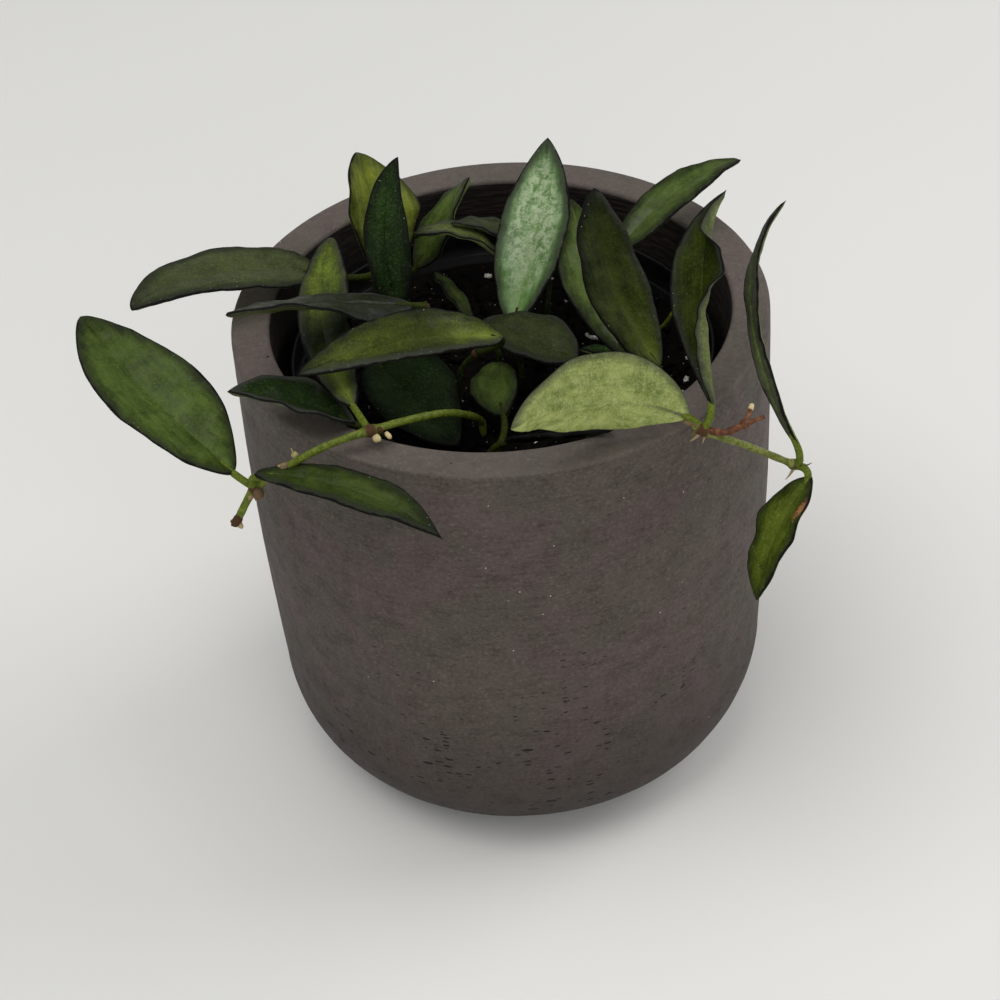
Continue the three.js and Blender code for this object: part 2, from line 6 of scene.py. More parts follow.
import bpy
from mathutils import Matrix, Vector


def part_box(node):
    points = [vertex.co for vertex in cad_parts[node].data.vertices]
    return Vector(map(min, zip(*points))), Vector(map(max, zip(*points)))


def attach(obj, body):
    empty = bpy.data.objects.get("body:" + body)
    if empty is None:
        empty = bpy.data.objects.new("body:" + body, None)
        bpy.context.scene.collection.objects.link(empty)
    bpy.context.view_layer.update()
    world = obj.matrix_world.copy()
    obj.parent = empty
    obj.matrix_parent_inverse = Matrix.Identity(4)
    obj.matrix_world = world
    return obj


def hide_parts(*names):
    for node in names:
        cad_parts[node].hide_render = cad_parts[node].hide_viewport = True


bl_info = {
    "name": "Potted Hoya Plant",
    "version": (1, 0, 0),
    "blender": (4, 5, 0),
    "location": "3D View > Sidebar > Hoya",
    "description": "Builds the potted hoya plant around its packed model",
    "category": "Add Mesh",
}

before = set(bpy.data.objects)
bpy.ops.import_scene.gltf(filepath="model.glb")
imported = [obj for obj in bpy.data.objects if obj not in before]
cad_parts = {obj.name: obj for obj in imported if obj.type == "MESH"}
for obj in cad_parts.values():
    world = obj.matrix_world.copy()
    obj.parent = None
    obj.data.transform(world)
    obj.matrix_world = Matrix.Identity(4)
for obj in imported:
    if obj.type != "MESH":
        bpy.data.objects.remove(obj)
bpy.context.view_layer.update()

import math
import random

import bpy
from mathutils import Matrix, Quaternion, Vector, noise

MM = 0.001
POT_LOW, POT_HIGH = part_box("outer_pot")
POT_HEIGHT = round(POT_HIGH.z / MM, 1)
MOUTH_RADIUS = 64.7
POT_RADIUS = round((POT_HIGH.x - POT_LOW.x) / MM / 2, 1)
SOIL_HEIGHT = 126
ROOT_HEIGHT = 112
COLLAR_HEIGHT = 128.5

# The nursery pot: a cup that widens from its foot to its neck, with an upright lip above the neck
NURSERY_BASE = 16.3
NURSERY_NECK = 128.3
NURSERY_TOP = 136.3
NURSERY_FOOT_RADIUS = 44
NURSERY_NECK_RADIUS = 58.4
NURSERY_LIP_RADIUS = 60.2
NURSERY_WALL = 1.1
# From the nursery pot's outer face in to the soil
SOIL_INSET = 1.4

# The vines: where each root stands in the soil and the route from there, in millimetres. Knots are
# the swollen nodes where leaves sit, named by their place in the route.
VINES = {
    "front_vine": {
        "root": (-7, -27), "radius": 1.5, "knot": 2.3, "knots": (3, 6),
        "route": (
            (-10, -35, 139), (-17, -46, 149), (-26, -53, 153), (-36, -59, 155),
            (-46, -62, 154), (-57, -63, 149), (-67, -63, 142), (-73, -65, 133),
        ),
    },
    "right_vine": {
        "root": (32, -34), "radius": 1.4, "knot": 2.2, "knots": (3, 5),
        "route": (
            (33, -42, 143), (37, -51, 152), (43, -59, 154.5),
            (50, -66, 153), (62, -64, 145), (75, -61, 135),
        ),
    },
    "left_vine": {"root": (-30, 14), "route": ((-33, 17, 138), (-36, 19, 150)), "knots": (1,)},
    "back_left_vine": {
        "root": (-30, 30), "route": ((-29, 32, 136), (-28, 33, 141), (-28, 36, 150)), "knots": (1, 2),
    },
    "centre_left_vine": {
        "root": (-20, -4), "knots": (1, 3),
        "route": ((-22, -2, 136), (-24, 0, 143), (-22, -6, 153), (-20, -9, 158)),
    },
    "centre_vine": {"root": (-13, -12), "route": ((-12, -13, 138), (-7, -17, 147)), "knots": (1,)},
    "silver_vine": {"root": (5, -3), "route": ((5, -2, 136),), "knots": (0,)},
    "front_centre_vine": {"root": (22, -36), "route": ((23, -33, 136), (25, -29, 144)), "knots": (1,)},
    "low_vine": {"root": (-6, -42), "route": ((-5, -46, 134),), "knots": (0,)},
    "low_left_vine": {"root": (-40, 2), "route": ((-41, 0, 133),), "knots": (0,)},
    "front_left_vine": {"root": (-30, -38), "route": ((-33, -44, 141),), "knots": (0,)},
    "back_centre_vine": {"root": (14, 26), "route": ((15, 29, 136), (14, 31, 143)), "knots": (1,)},
    "back_right_vine": {"root": (26, 14), "route": ((26, 15, 136), (27, 16, 142)), "knots": (1,)},
    "right_inner_vine": {"root": (42, -18), "route": ((40, -18, 133), (43, -27, 138)), "knots": (0, 1)},
    "middle_vine": {"root": (-1, 4), "route": ((-3, 6, 134),), "knots": (0,)},
    "bare_stalk": {"root": (45, 10), "route": ((47, 9, 133), (50, 8, 139)), "knots": (), "radius": 0.8},
}

# Each leaf grows at a knot of a vine. Its blade starts at base and runs length along a heading (degrees
# from +X towards +Y) and a rise (degrees above level). Roll turns the blade about its midrib, left side
# up. Over the length, bend droops the tip, sway turns it to the left, and twist adds to the roll. Fold
# is how far the margins are raised, curl is how far each half bends on its way there, and wave is how
# far the margins ripple. A low blunt makes a round base, a low tip a round tip, and a low belly brings
# the widest place nearer to the base. A list of values runs from base to tip, and one in left or right
# widens or narrows that half.
LEAVES = {
    "leaf_far_left": {
        "vine": "front_vine", "knot": 6, "base": (-72.5, -61, 145.5), "colour": "green", "heading": 144,
        "rise": 28, "length": 67, "width": 25, "bend": 22, "sway": -23, "twist": -18, "fold": 15,
        "blunt": 0.7, "belly": 0.86, "left": (1, 0.97, 1, 0.9), "right": (1, 1.2, 1.12, 1.02, 1),
    },
    "leaf_low_left": {
        "vine": "front_vine", "knot": 6, "base": (-66.6, -65, 148), "colour": "green", "heading": 352,
        "rise": -2, "length": 56.5, "width": 14, "bend": 4, "sway": -42, "fold": 10, "blunt": 0.6, "tip": 1.1,
        "left": (1, 1, 1, 1.15, 1.1), "wave": 0.2,
    },
    "leaf_upper_left": {
        "vine": "left_vine", "knot": 1, "base": (-50, 15, 154), "colour": "dusky", "heading": 174, "rise": 14,
        "length": 64, "width": 22, "sway": 74, "twist": 12, "fold": 6, "blunt": 0.7, "belly": 0.7,
    },
    "leaf_thin_left": {
        "vine": "centre_left_vine", "knot": 3, "base": (-24, -10, 159), "colour": "dusky", "heading": 203,
        "rise": 24.5, "roll": 10, "length": 67.5, "width": 16, "bend": 7, "sway": 32, "twist": 30, "fold": 8,
        "left_fold": (-30, -35, -5, 8, 8), "blunt": 0.65, "belly": 0.75, "left": 0.9, "wave": 0.2,
    },
    "leaf_left_upright": {
        "vine": "front_vine", "knot": 3, "base": (-40, -49.5, 155.7), "colour": "olive", "heading": 114,
        "rise": 6.5, "roll": -8, "length": 68, "width": 15, "sway": -38, "blunt": 0.6,
        "left": (0.9, 0.85, 0.9, 1), "right": (1, 1, 1.1, 1.3, 1.3),
    },
    "leaf_centre_left": {
        "vine": "centre_vine", "knot": 1, "base": (0.5, -22, 154.5), "colour": "olive", "heading": 210,
        "rise": 31, "roll": -28, "length": 62, "width": 17, "bend": 44, "sway": 10, "twist": -7, "fold": 18,
        "blunt": 0.75, "left": (1, 0.8, 0.72, 0.75, 0.8),
    },
    "leaf_over_left_rim": {
        "vine": "front_left_vine", "knot": 0, "base": (-40, -50.5, 150.9), "colour": "dark", "heading": 168,
        "rise": 22, "roll": 13, "length": 35, "width": 21, "bend": 4, "sway": 20, "twist": 6, "fold": 20,
        "blunt": 0.8, "tip": 0.85, "belly": 0.95,
    },
    "leaf_low_dark": {
        "vine": "low_left_vine", "knot": 0, "base": (-36.5, -4, 137), "colour": "dark", "heading": 300,
        "rise": -2, "roll": 6, "length": 45, "width": 23, "blunt": 0.6, "left": (1.3, 1.3, 1.2, 0.95, 0.8),
    },
    "leaf_back_left_broad": {
        "vine": "left_vine", "knot": 1, "base": (-30.5, 25, 148), "colour": "lime", "heading": 126,
        "rise": 66, "roll": 7, "length": 35, "width": 27.5, "bend": 20, "sway": -26, "twist": 18, "fold": 18,
        "blunt": 0.7, "tip": 0.6, "right": (1, 0.95, 1.1, 1.05, 1),
    },
    "leaf_back_left_tall": {
        "vine": "centre_left_vine", "knot": 1, "base": (-29, 5, 147.5), "colour": "dark", "heading": 117,
        "rise": 63, "roll": 3, "length": 46, "width": 14.8, "bend": 33, "sway": -45, "twist": -22, "fold": 27,
        "blunt": 0.78, "belly": 0.7, "right": (1, 1, 1, 0.92, 0.85),
    },
    "leaf_back_pointed": {
        "vine": "back_left_vine", "knot": 1, "base": (-24, 40.5, 136.5), "colour": "green", "heading": 34,
        "rise": 44, "length": 33.5, "width": 20, "bend": -20, "sway": -25, "twist": -38, "fold": 8,
    },
    "leaf_back_arched": {
        "vine": "back_left_vine", "knot": 2, "base": (-22.5, 33, 153.6), "colour": "dusky", "heading": 348,
        "rise": 21, "roll": -5, "length": 28, "width": 11, "bend": 58, "sway": -14, "twist": -30,
        "blunt": 0.55, "belly": 0.75,
    },
    "leaf_back_small": {
        "vine": "back_centre_vine", "knot": 1, "base": (8, 30.5, 148), "colour": "dusky", "heading": 167,
        "rise": 41, "roll": 8, "length": 23, "width": 14, "bend": 36, "sway": 8, "twist": 24,
    },
    "leaf_silvery": {
        "vine": "silver_vine", "knot": 0, "base": (3.7, 2, 141.5), "colour": "silver", "heading": 65,
        "rise": 38, "roll": -15, "length": 58, "width": 22, "bend": 6, "sway": 15, "twist": 24, "fold": 13,
        "blunt": 0.62, "tip": 0.8, "belly": 0.86, "right": 0.95,
    },
    "leaf_right_inner": {
        "vine": "right_inner_vine", "knot": 0, "base": (33.5, -14, 138.5), "colour": "green", "heading": 108,
        "rise": 31, "length": 56, "width": 17, "bend": 16, "sway": -10, "twist": -6,
        "left": (1, 1.15, 1.22, 1.1, 1),
    },
    "leaf_right_olive": {
        "vine": "right_inner_vine", "knot": 1, "base": (42.5, -25.5, 143.5), "colour": "olive", "heading": 147,
        "rise": 46, "length": 53, "width": 22, "bend": -18, "sway": -36, "twist": -12, "blunt": 0.7,
        "tip": 0.62, "left": (1, 1.02, 1.08, 1.08, 1),
    },
    "leaf_back_right": {
        "vine": "back_right_vine", "knot": 1, "base": (33, 20.5, 149), "colour": "green", "heading": 24,
        "rise": 42, "roll": 15, "length": 53, "width": 14, "bend": 58, "sway": 13, "twist": -17,
        "blunt": 0.73, "wave": 0.15,
    },
    "leaf_right_folded": {
        "vine": "right_vine", "knot": 3, "base": (52.8, -64, 158), "colour": "olive", "heading": 91,
        "rise": 37, "roll": -4, "length": 59.5, "width": 20, "bend": (-4, -10, -10, 30),
        "sway": (0, -8, -50, -120), "fold": 10,
        "right_fold": (100, 120, 118, 112, 100, 85, 60, 60, 110, 115, 90),
        "right_curl": (20, 40, 50, 40, 30, 20, 20, 30, 50, 30, 10), "blunt": 0.85, "tip": 1, "belly": 1.05,
        "left": (0.72, 0.8, 0.88, 0.9, 0.85),
    },
    "leaf_far_right_tall": {
        "vine": "right_vine", "knot": 5, "base": (76, -62, 141), "colour": "dusky", "heading": 130,
        "rise": 46, "roll": -82, "length": 76, "width": 7.2, "bend": (66, 66, 80, 96),
        "sway": (5, 2, -15, -60), "fold": 14, "blunt": 0.65, "left": 0.8, "right": 0.8,
    },
    "leaf_far_right_hanging": {
        "vine": "right_vine", "knot": 5, "base": (79, -64, 133), "colour": "olive", "heading": 209,
        "rise": -46, "length": 36.5, "width": 15, "bend": 16, "sway": 16, "twist": 14, "fold": 14,
        "blunt": 0.68, "left": 0.95, "right": (0.92, 1, 1.05, 1.12, 0.98, 1.12, 1.18, 1),
    },
    "leaf_pale_underside": {
        "vine": "right_vine", "knot": 3, "base": (47, -64, 156), "colour": "pale", "heading": 180, "rise": 31,
        "roll": 98, "length": 55, "width": 26, "bend": 42, "sway": -28, "fold": 20, "blunt": 0.78,
    },
    "leaf_centre_front": {
        "vine": "front_centre_vine", "knot": 1, "base": (20, -21.5, 144.5), "colour": "dusky", "heading": 138,
        "rise": 5, "roll": -5, "length": 34, "width": 20, "bend": 10, "twist": 10, "blunt": 0.68,
    },
    "leaf_centre_small": {
        "vine": "low_vine", "knot": 0, "base": (-0.5, -34, 136.5), "colour": "green", "heading": 103,
        "rise": 15, "roll": -18, "length": 27, "width": 14.5, "bend": 36,
    },
    "leaf_front_thin": {
        "vine": "low_vine", "knot": 0, "base": (-1.5, -48, 139.5), "colour": "dark", "heading": 335,
        "rise": 21, "roll": -36, "length": 35, "width": 11, "sway": -4, "twist": 24, "wave": 0.3,
    },
    "leaf_right_small": {
        "vine": "right_inner_vine", "knot": 0, "base": (39, -7, 133), "colour": "dark", "heading": 166,
        "rise": 8, "roll": 20, "length": 18, "width": 10, "sway": 15,
    },
    "leaf_centre_narrow": {
        "vine": "middle_vine", "knot": 0, "base": (-8, 9, 137), "colour": "green", "heading": 111, "rise": 18,
        "roll": 20, "length": 28, "width": 6, "bend": 26, "sway": -5, "blunt": 0.7,
    },
}

# What a leaf has where its own entry doesn't say
FOLD = 12
CURL = -16
WAVE = 0.4
BELLY = 0.9
BLUNT = 0.85

# How many ripples run along each margin, and how far the left ones lag behind, in radians
WAVES = 3
WAVE_LAG = 2

# Unevenness, as pairs of a depth and a length in millimetres
CAST_SWELLS = ((0.22, 38), (0.07, 7))
PEAT_LUMPS = ((1.5, 5.5), (1.1, 2.2), (0.5, 0.9))
PUCKERS = ((0.5, 6.5), (0.24, 2.8))

# A blade's mesh: how many columns it has, and in millimetres the step between its rows, the least width
# of a half, and how far in from its edge a margin starts to round off
COLUMNS = 24
ROW_STEP = 0.7
NARROWEST = 0.12
MARGIN_ROUNDING = 0.55

# What a leaf's finish reads from its mesh. Its stalk counts as far from any margin and midrib.
LEAF_MEASURES = (
    "margin", "across", "along", "below", "stalk", "shade", "haze", "sheen", "rib", "scar",
)
STALK_MEASURES = {"margin": 9.0, "across": 9.0, "stalk": 1.0}
# Painted shade on the stalks of leaves that grow inside the pot
SHADED_STALK = 0.25
OUTER_VINES = ("front_vine", "right_vine", "bare_stalk")

# How light or dark each leaf is: its own tone together with painted light and painted shade, from how the
# light falls on it. Also how grey the haze inside its margins is, how much it shines, and how clear its
# midrib is. A list runs from base to tip, and a name that starts with left or right holds for that half
# alone. A scar is given by its place along and across the blade, in millimetres.
TINTS = {
    "leaf_far_left": {"shade": (0.85, 0.8, 0.72, 0.6), "haze": 0.3, "sheen": 0.15, "rib": 0.0},
    "leaf_low_left": {
        "shade": (0.38, 0.48, 0.5, 0.3), "haze": 0.3, "right_haze": 0.5, "sheen": 0.2, "rib": 0.0,
    },
    "leaf_upper_left": {"shade": (1.0, 0.9, 0.75), "haze": 0.4, "sheen": 0.4, "rib": 0.0},
    "leaf_thin_left": {"shade": (0.2, 0.25, 0.35), "haze": 0.6, "right_haze": 0.8, "sheen": 0.3, "rib": 0.0},
    "leaf_left_upright": {
        "shade": (1.75, 0.9, 0.27, 1.0, 1.6, 1.3), "haze": 0.7, "sheen": 0.3, "rib": (0.8, 0.4, 0.1, 0, 0),
    },
    "leaf_centre_left": {
        "shade": (1.75, 1.25, 0.5, 0.68, 1.0, 0.5), "haze": 0.2, "left_haze": 0.9, "sheen": 0.2,
        "rib": (1, 0.4, 0, 0),
    },
    "leaf_over_left_rim": {"shade": (0.25, 0.45, 0.8), "haze": 0.9, "sheen": 0.1, "rib": 0.0},
    "leaf_low_dark": {"shade": 0.43, "haze": 0.0, "sheen": 0.1, "rib": 0.0},
    "leaf_back_left_broad": {
        "shade": (0.7, 1.0, 1.1, 1.0), "haze": 0.1, "sheen": 0.1, "rib": (0.4, 0.2, 0, 0),
    },
    "leaf_back_left_tall": {"shade": (0.45, 0.5, 0.8, 1.0), "haze": 0.0, "sheen": 0.0, "rib": 0.0},
    "leaf_back_pointed": {"shade": (0.7, 0.95, 1.0), "haze": 0.5, "sheen": 0.1, "rib": 0.0},
    "leaf_back_arched": {"shade": (1.4, 2.2, 1.8), "haze": 0.6, "sheen": 0.2, "rib": 0.0},
    "leaf_back_small": {"shade": (0.6, 0.75, 0.75), "haze": 0.6, "sheen": 0.2, "rib": 0.0},
    "leaf_silvery": {"shade": (0.85, 0.8, 0.95, 0.62), "haze": 0.9, "sheen": 0.4, "rib": (0.7, 0.3, 0, 0)},
    "leaf_right_inner": {"shade": (0.6, 0.85, 1.0), "haze": 0.3, "sheen": 0.3, "rib": 0.0},
    "leaf_right_olive": {
        "shade": (0.85, 0.45, 0.3, 0.22), "haze": 0.0, "right_haze": 0.5, "sheen": 0.0,
        "rib": (0.8, 0.5, 0.2, 0),
    },
    "leaf_back_right": {"shade": (0.66, 0.8, 0.75), "haze": 0.2, "sheen": 0.4, "rib": 0.0},
    "leaf_right_folded": {
        "shade": (0.42, 0.46, 0.55, 0.45), "right_shade": (0.5, 0.55, 0.4, 0.3, 1.1),
        "haze": 0.4, "right_haze": 0.9, "sheen": 0.0, "rib": 0.0,
    },
    "leaf_far_right_tall": {"shade": (4.2, 3.0, 1.9, 1.9), "haze": 0.9, "sheen": 0.1, "rib": 0.0},
    "leaf_far_right_hanging": {
        "shade": (1.1, 1.25, 1.15), "haze": 0.2, "sheen": 0.0, "rib": (0.3, 0.2, 0, 0), "scar": (8, 4.5),
    },
    "leaf_pale_underside": {
        "shade": 0.9, "right_shade": 1.2, "haze": 0.0, "left_haze": 0.8, "sheen": 0.0, "rib": (1, 0.2, 0, 0),
    },
    "leaf_centre_front": {"shade": (0.6, 0.55, 0.5), "haze": 0.5, "sheen": 0.1, "rib": 0.0},
    "leaf_centre_small": {"shade": (0.6, 0.9, 1.0), "haze": 0.2, "sheen": 0.2, "rib": 0.1},
    "leaf_front_thin": {"shade": 0.02, "haze": 0.2, "sheen": 0.0, "rib": 0.0},
    "leaf_right_small": {"shade": 2.0, "haze": 0.2, "sheen": 0.0, "rib": 0.0},
    "leaf_centre_narrow": {"shade": (0.5, 0.8, 0.9), "haze": 0.2, "sheen": 0.0, "rib": 0.0},
}


# Shader maths


class Value:
    """A shader socket, with arithmetic that adds Math nodes."""

    def __init__(self, finish, socket):
        self.finish = finish
        self.socket = socket

    def maths(self, operation, *operands):
        """A Math node with the given operands."""
        return self.finish.node("ShaderNodeMath", {"operation": operation}, dict(enumerate(operands)))

    def __add__(self, other):
        return self.maths("ADD", self, other)

    def __sub__(self, other):
        return self.maths("SUBTRACT", self, other)

    def __rsub__(self, other):
        return self.maths("SUBTRACT", other, self)

    def __mul__(self, other):
        return self.maths("MULTIPLY", self, other)

    def __abs__(self):
        return self.maths("ABSOLUTE", self)

    __radd__ = __add__
    __rmul__ = __mul__

    def larger(self, other):
        """The larger of two values."""
        return self.maths("MAXIMUM", self, other)


class Finish:
    """A procedural material: one Principled shader and the nodes that feed it."""

    def __init__(self, name, **constants):
        self.material = bpy.data.materials.new(name)
        self.material.use_nodes = True
        self.tree = self.material.node_tree
        self.shader = self.tree.nodes["Principled BSDF"]
        for socket, value in constants.items():
            self.shader.inputs[socket.replace("_", " ").title().replace("Ior", "IOR")].default_value = value

    def node(self, kind, settings=None, sockets=None, output=0):
        """Add a node: its type, its settings, then the values or links of its sockets. Returns one output."""
        made = self.tree.nodes.new(kind)
        for name, value in (settings or {}).items():
            setattr(made, name, value)
        for name, value in (sockets or {}).items():
            if isinstance(value, Value):
                self.tree.links.new(value.socket, made.inputs[name])
            else:
                made.inputs[name].default_value = value
        return Value(self, made.outputs[output])

    def point(self):
        """Where the surface is, in millimetres."""
        place = self.node("ShaderNodeTexCoord", output="Object")
        return self.scaled(place, (1 / MM, 1 / MM, 1 / MM))

    def scaled(self, place, factors):
        """A place with each direction scaled, which squeezes or stretches the noise that reads it."""
        return self.node("ShaderNodeVectorMath", {"operation": "MULTIPLY"}, {0: place, 1: factors})

    def height(self):
        """The height over the table, in millimetres."""
        place = self.node("ShaderNodeTexCoord", output="Object")
        return self.node("ShaderNodeSeparateXYZ", {}, {0: place}, "Z") * (1 / MM)

    def reach(self):
        """The distance from the pot's axis, in millimetres."""
        flat = self.scaled(self.point(), (1, 1, 0))
        return self.node("ShaderNodeVectorMath", {"operation": "LENGTH"}, {0: flat}, "Value")

    def pits(self, place, size, pick, widest, share):
        """Small sideways pits: one in some of the cells, larger where share is larger."""
        rough = self.scaled(self.cloud(place, size * 0.4, 2, 0.6), (1.3, 1.3, 1.3))
        flat = self.scaled(place, (0.8, 0.8, 2.6))
        flat = self.node("ShaderNodeVectorMath", {"operation": "ADD"}, {0: flat, 1: rough})
        chance = self.node("ShaderNodeSeparateColor", {}, {0: self.cells(flat, size, "Color")}, "Red")
        width = self.step(chance, pick, 1.0, 0.0, widest) * share
        gap = self.cells(flat, size)
        return self.step(gap - width, -0.03, 0.03, 1.0, 0.0) * self.step(width, 0.02, 0.05)

    def specks(self, place, size, widest, pick):
        """Tiny dots, one in some of the cells."""
        chance = self.node("ShaderNodeSeparateColor", {}, {0: self.cells(place, size, "Color")}, "Green")
        dot = self.step(self.cells(place, size), widest * 0.7, widest, 1.0, 0.0)
        return dot * self.step(chance, pick, pick + 0.04)

    def measure(self, name):
        """A value that the mesh holds at each point."""
        return self.node("ShaderNodeAttribute", {"attribute_name": name}, {}, "Fac")

    def cloud(self, place, size, detail=3.0, roughness=0.55, distortion=0.0):
        """Soft noise from 0 to 1, with lumps of about the given size in millimetres."""
        sockets = {
            "Vector": place, "Scale": 1 / size,
            "Detail": detail, "Roughness": roughness, "Distortion": distortion,
        }
        return self.node("ShaderNodeTexNoise", {}, sockets)

    def cells(self, place, size, output="Distance"):
        """The distance to the nearest of many scattered points, or that point's own random colour."""
        return self.node("ShaderNodeTexVoronoi", {}, {"Vector": place, "Scale": 1 / size}, output)

    def step(self, value, low, high, start=0.0, end=1.0):
        """Rises smoothly from start to end as value goes from low to high."""
        sockets = {"Value": value, 1: low, 2: high, 3: start, 4: end}
        return self.node("ShaderNodeMapRange", {"interpolation_type": "SMOOTHSTEP"}, sockets)

    def blend(self, share, first, second, kind="MIX"):
        """Two colours, each a shader value or a bpy.props colour, mixed by a share from 0 to 1."""
        first, second = (each if isinstance(each, Value) else (*each, 1.0) for each in (first, second))
        sockets = {0: share, 6: first, 7: second}
        return self.node("ShaderNodeMix", {"data_type": "RGBA", "blend_type": kind}, sockets, 2)

    def bump(self, height, depth):
        """A bump of the given depth in millimetres."""
        return self.node("ShaderNodeBump", {}, {"Height": height, "Strength": 1.0, "Distance": depth * MM})

    def feed(self, **links):
        """Links values to the shader's sockets and returns the material."""
        for name, value in links.items():
            self.tree.links.new(value.socket, self.shader.inputs[name.replace("_", " ").title()])
        return self.material


def rgb(code):
    """A colour written as RRGGBB, in Blender's linear light."""
    parts = [int(code[i:i + 2], 16) / 255 for i in (0, 2, 4)]
    return tuple(part / 12.92 if part <= 0.04045 else ((part + 0.055) / 1.055) ** 2.4 for part in parts)


# Finishes


def clay_finish(look):
    """Fibre clay, cloudy and brushed sideways with light specks; painted shade in its pinholes, inside and low
    down, and a painted highlight on its rim.
    """
    finish = Finish("fibre_clay", specular_ior_level=0.3)
    place = finish.point()
    height = finish.height()
    warm = finish.cloud(place, 30, 3, 0.55, 0.3)
    cool = finish.cloud(finish.scaled(place, (1.2, 1.2, 0.8)), 22, 3, 0.55)
    brushed = finish.cloud(finish.scaled(place, (0.12, 0.12, 1)), 1.5, 5, 0.7, 0.4)
    patch = finish.cloud(place, 7, 5, 0.65)
    grain = finish.cloud(finish.scaled(place, (0.7, 0.7, 1)), 0.8, 3, 0.75)
    colour = finish.blend(finish.step(warm, 0.46, 0.6), look.clay, look.clay_warm)
    colour = finish.blend(finish.step(cool, 0.48, 0.64) * 0.7, colour, look.clay_cool)
    colour = finish.blend(finish.step(patch * 0.5 + brushed * 0.7, 0.55, 0.8) * 0.55, colour, look.clay_dark_and_shade)
    colour = finish.blend(finish.step(grain, 0.5, 0.72) * 0.6, colour, look.clay_dust_and_rim_light)
    colour = finish.blend(finish.step(grain, 0.3, 0.46, 0.65, 0.0), colour, look.clay_dark_and_shade)
    # Painted shade: the clay is darkened towards the bottom, where less light reaches the wall.
    colour = finish.blend(finish.step(height, 2, 80, 0.8, 0.0), colour, look.clay_dark_and_shade)
    # Painted highlight: the flat top of the rim is lightened with the dust colour for the light that falls on
    # it.
    rim_painted_light = finish.step(height, POT_HEIGHT - 1.2, POT_HEIGHT - 0.2, 0.0, 0.3)
    colour = finish.blend(rim_painted_light, colour, look.clay_dust_and_rim_light)
    # Painted shade: inside the mouth the wall is near-black with lighter ridges, for the shade inside the pot.
    inside = finish.step(finish.reach(), MOUTH_RADIUS + 0.1, MOUTH_RADIUS + 0.9, 1.0, 0.0)
    inside = inside * finish.step(height, POT_HEIGHT - 1.6, POT_HEIGHT - 0.6, 1.0, 0.0)
    ridge = finish.cloud(finish.scaled(place, (0.1, 0.1, 1)), 0.9, 4, 0.65, 0.3)
    inner_wall_shade = finish.blend(finish.step(ridge, 0.45, 0.62), look.inner_wall_shade, look.inner_wall_shade_ridge)
    colour = finish.blend(inside, colour, inner_wall_shade)
    cluster = finish.step(finish.cloud(place, 24, 2, 0.5), 0.4, 0.58, 0.35, 1.0)
    low = finish.step(height, 30, 110, 1.0, 0.3)
    # The pinholes are near-black dots of painted shade, with no relief of their own.
    large = finish.pits(place, size=4.6, pick=0.7, widest=0.34, share=cluster * low)
    small = finish.pits(place, size=2.3, pick=0.7, widest=0.5, share=cluster * low)
    pinhole_shade = large.larger(small) * finish.step(inside, 0.1, 0.5, 1.0, 0.0)
    speck = finish.specks(place, size=5, widest=0.05, pick=0.8)
    colour = finish.blend(pinhole_shade, colour, look.pinhole_shade)
    colour = finish.blend(speck * 0.8, colour, look.speck)
    rough = finish.step(patch, 0.3, 0.7, 0.66, 0.8)
    relief = finish.bump(patch * 0.5 + grain * 0.16 + brushed * 0.2 + inside * ridge * 2, 0.3)
    return finish.feed(base_color=colour, roughness=rough, normal=relief)


def plastic_finish(look):
    """Black plastic of a nursery pot, dull with a little soil dust."""
    finish = Finish("nursery_plastic", specular_ior_level=0.2)
    place = finish.point()
    dust = finish.cloud(place, 5, 5, 0.65)
    colour = finish.blend(finish.step(dust, 0.5, 0.8), look.plastic, look.plastic_dust)
    rough = finish.step(dust, 0.3, 0.8, 0.32, 0.6)
    return finish.feed(base_color=colour, roughness=rough, normal=finish.bump(dust, 0.06))


def peat_finish(look):
    """Dark damp peat with brown fibres."""
    finish = Finish("peat_soil", specular_ior_level=0.06)
    place = finish.point()
    lump = finish.cloud(place, 4, 6, 0.7, 0.6)
    fibre = finish.cloud(finish.scaled(place, (0.25, 1, 1)), 0.8, 3, 0.6, 1.5)
    colour = finish.blend(finish.step(lump, 0.35, 0.7), look.peat, look.peat_light)
    colour = finish.blend(finish.step(fibre, 0.62, 0.72) * 0.5, colour, look.peat_fibre)
    glint = finish.specks(place, size=1.7, widest=0.14, pick=0.6)
    colour = finish.blend(glint * 0.8, colour, look.perlite_shade)
    relief = finish.bump(lump + fibre * 0.4, 0.9)
    rough = finish.step(lump, 0.3, 0.7, 0.75, 0.95)
    return finish.feed(base_color=colour, roughness=rough, normal=relief)


def grain_finish(look):
    """Perlite: white, pitted grains."""
    finish = Finish("perlite", specular_ior_level=0.3)
    place = finish.point()
    pore = finish.cloud(place, 0.7, 3, 0.6)
    colour = finish.blend(finish.step(pore, 0.35, 0.65), look.perlite_shade, look.perlite)
    rough = finish.step(pore, 0.2, 0.8, 0.8, 0.95)
    return finish.feed(base_color=colour, roughness=rough, normal=finish.bump(pore, 0.3))


def vine_finish(name, fresh, light, look):
    """A green stem that turns brown and corky where its mesh says so."""
    finish = Finish(name, specular_ior_level=0.15)
    place = finish.point()
    streak = finish.cloud(place, 1.6, 4, 0.6, 0.8)
    cork = finish.measure("cork")
    colour = finish.blend(finish.step(streak, 0.35, 0.7), fresh, light)
    worn = finish.step(cork + streak * 0.7, 0.75, 1.15)
    colour = finish.blend(worn, colour, look.cork)
    colour = finish.blend(finish.measure("cream"), colour, look.cream)
    relief = finish.bump(streak * (0.5 + cork), 0.35)
    rough = finish.step(worn, 0.0, 1.0, 0.42, 0.8)
    return finish.feed(base_color=colour, roughness=rough, normal=relief)


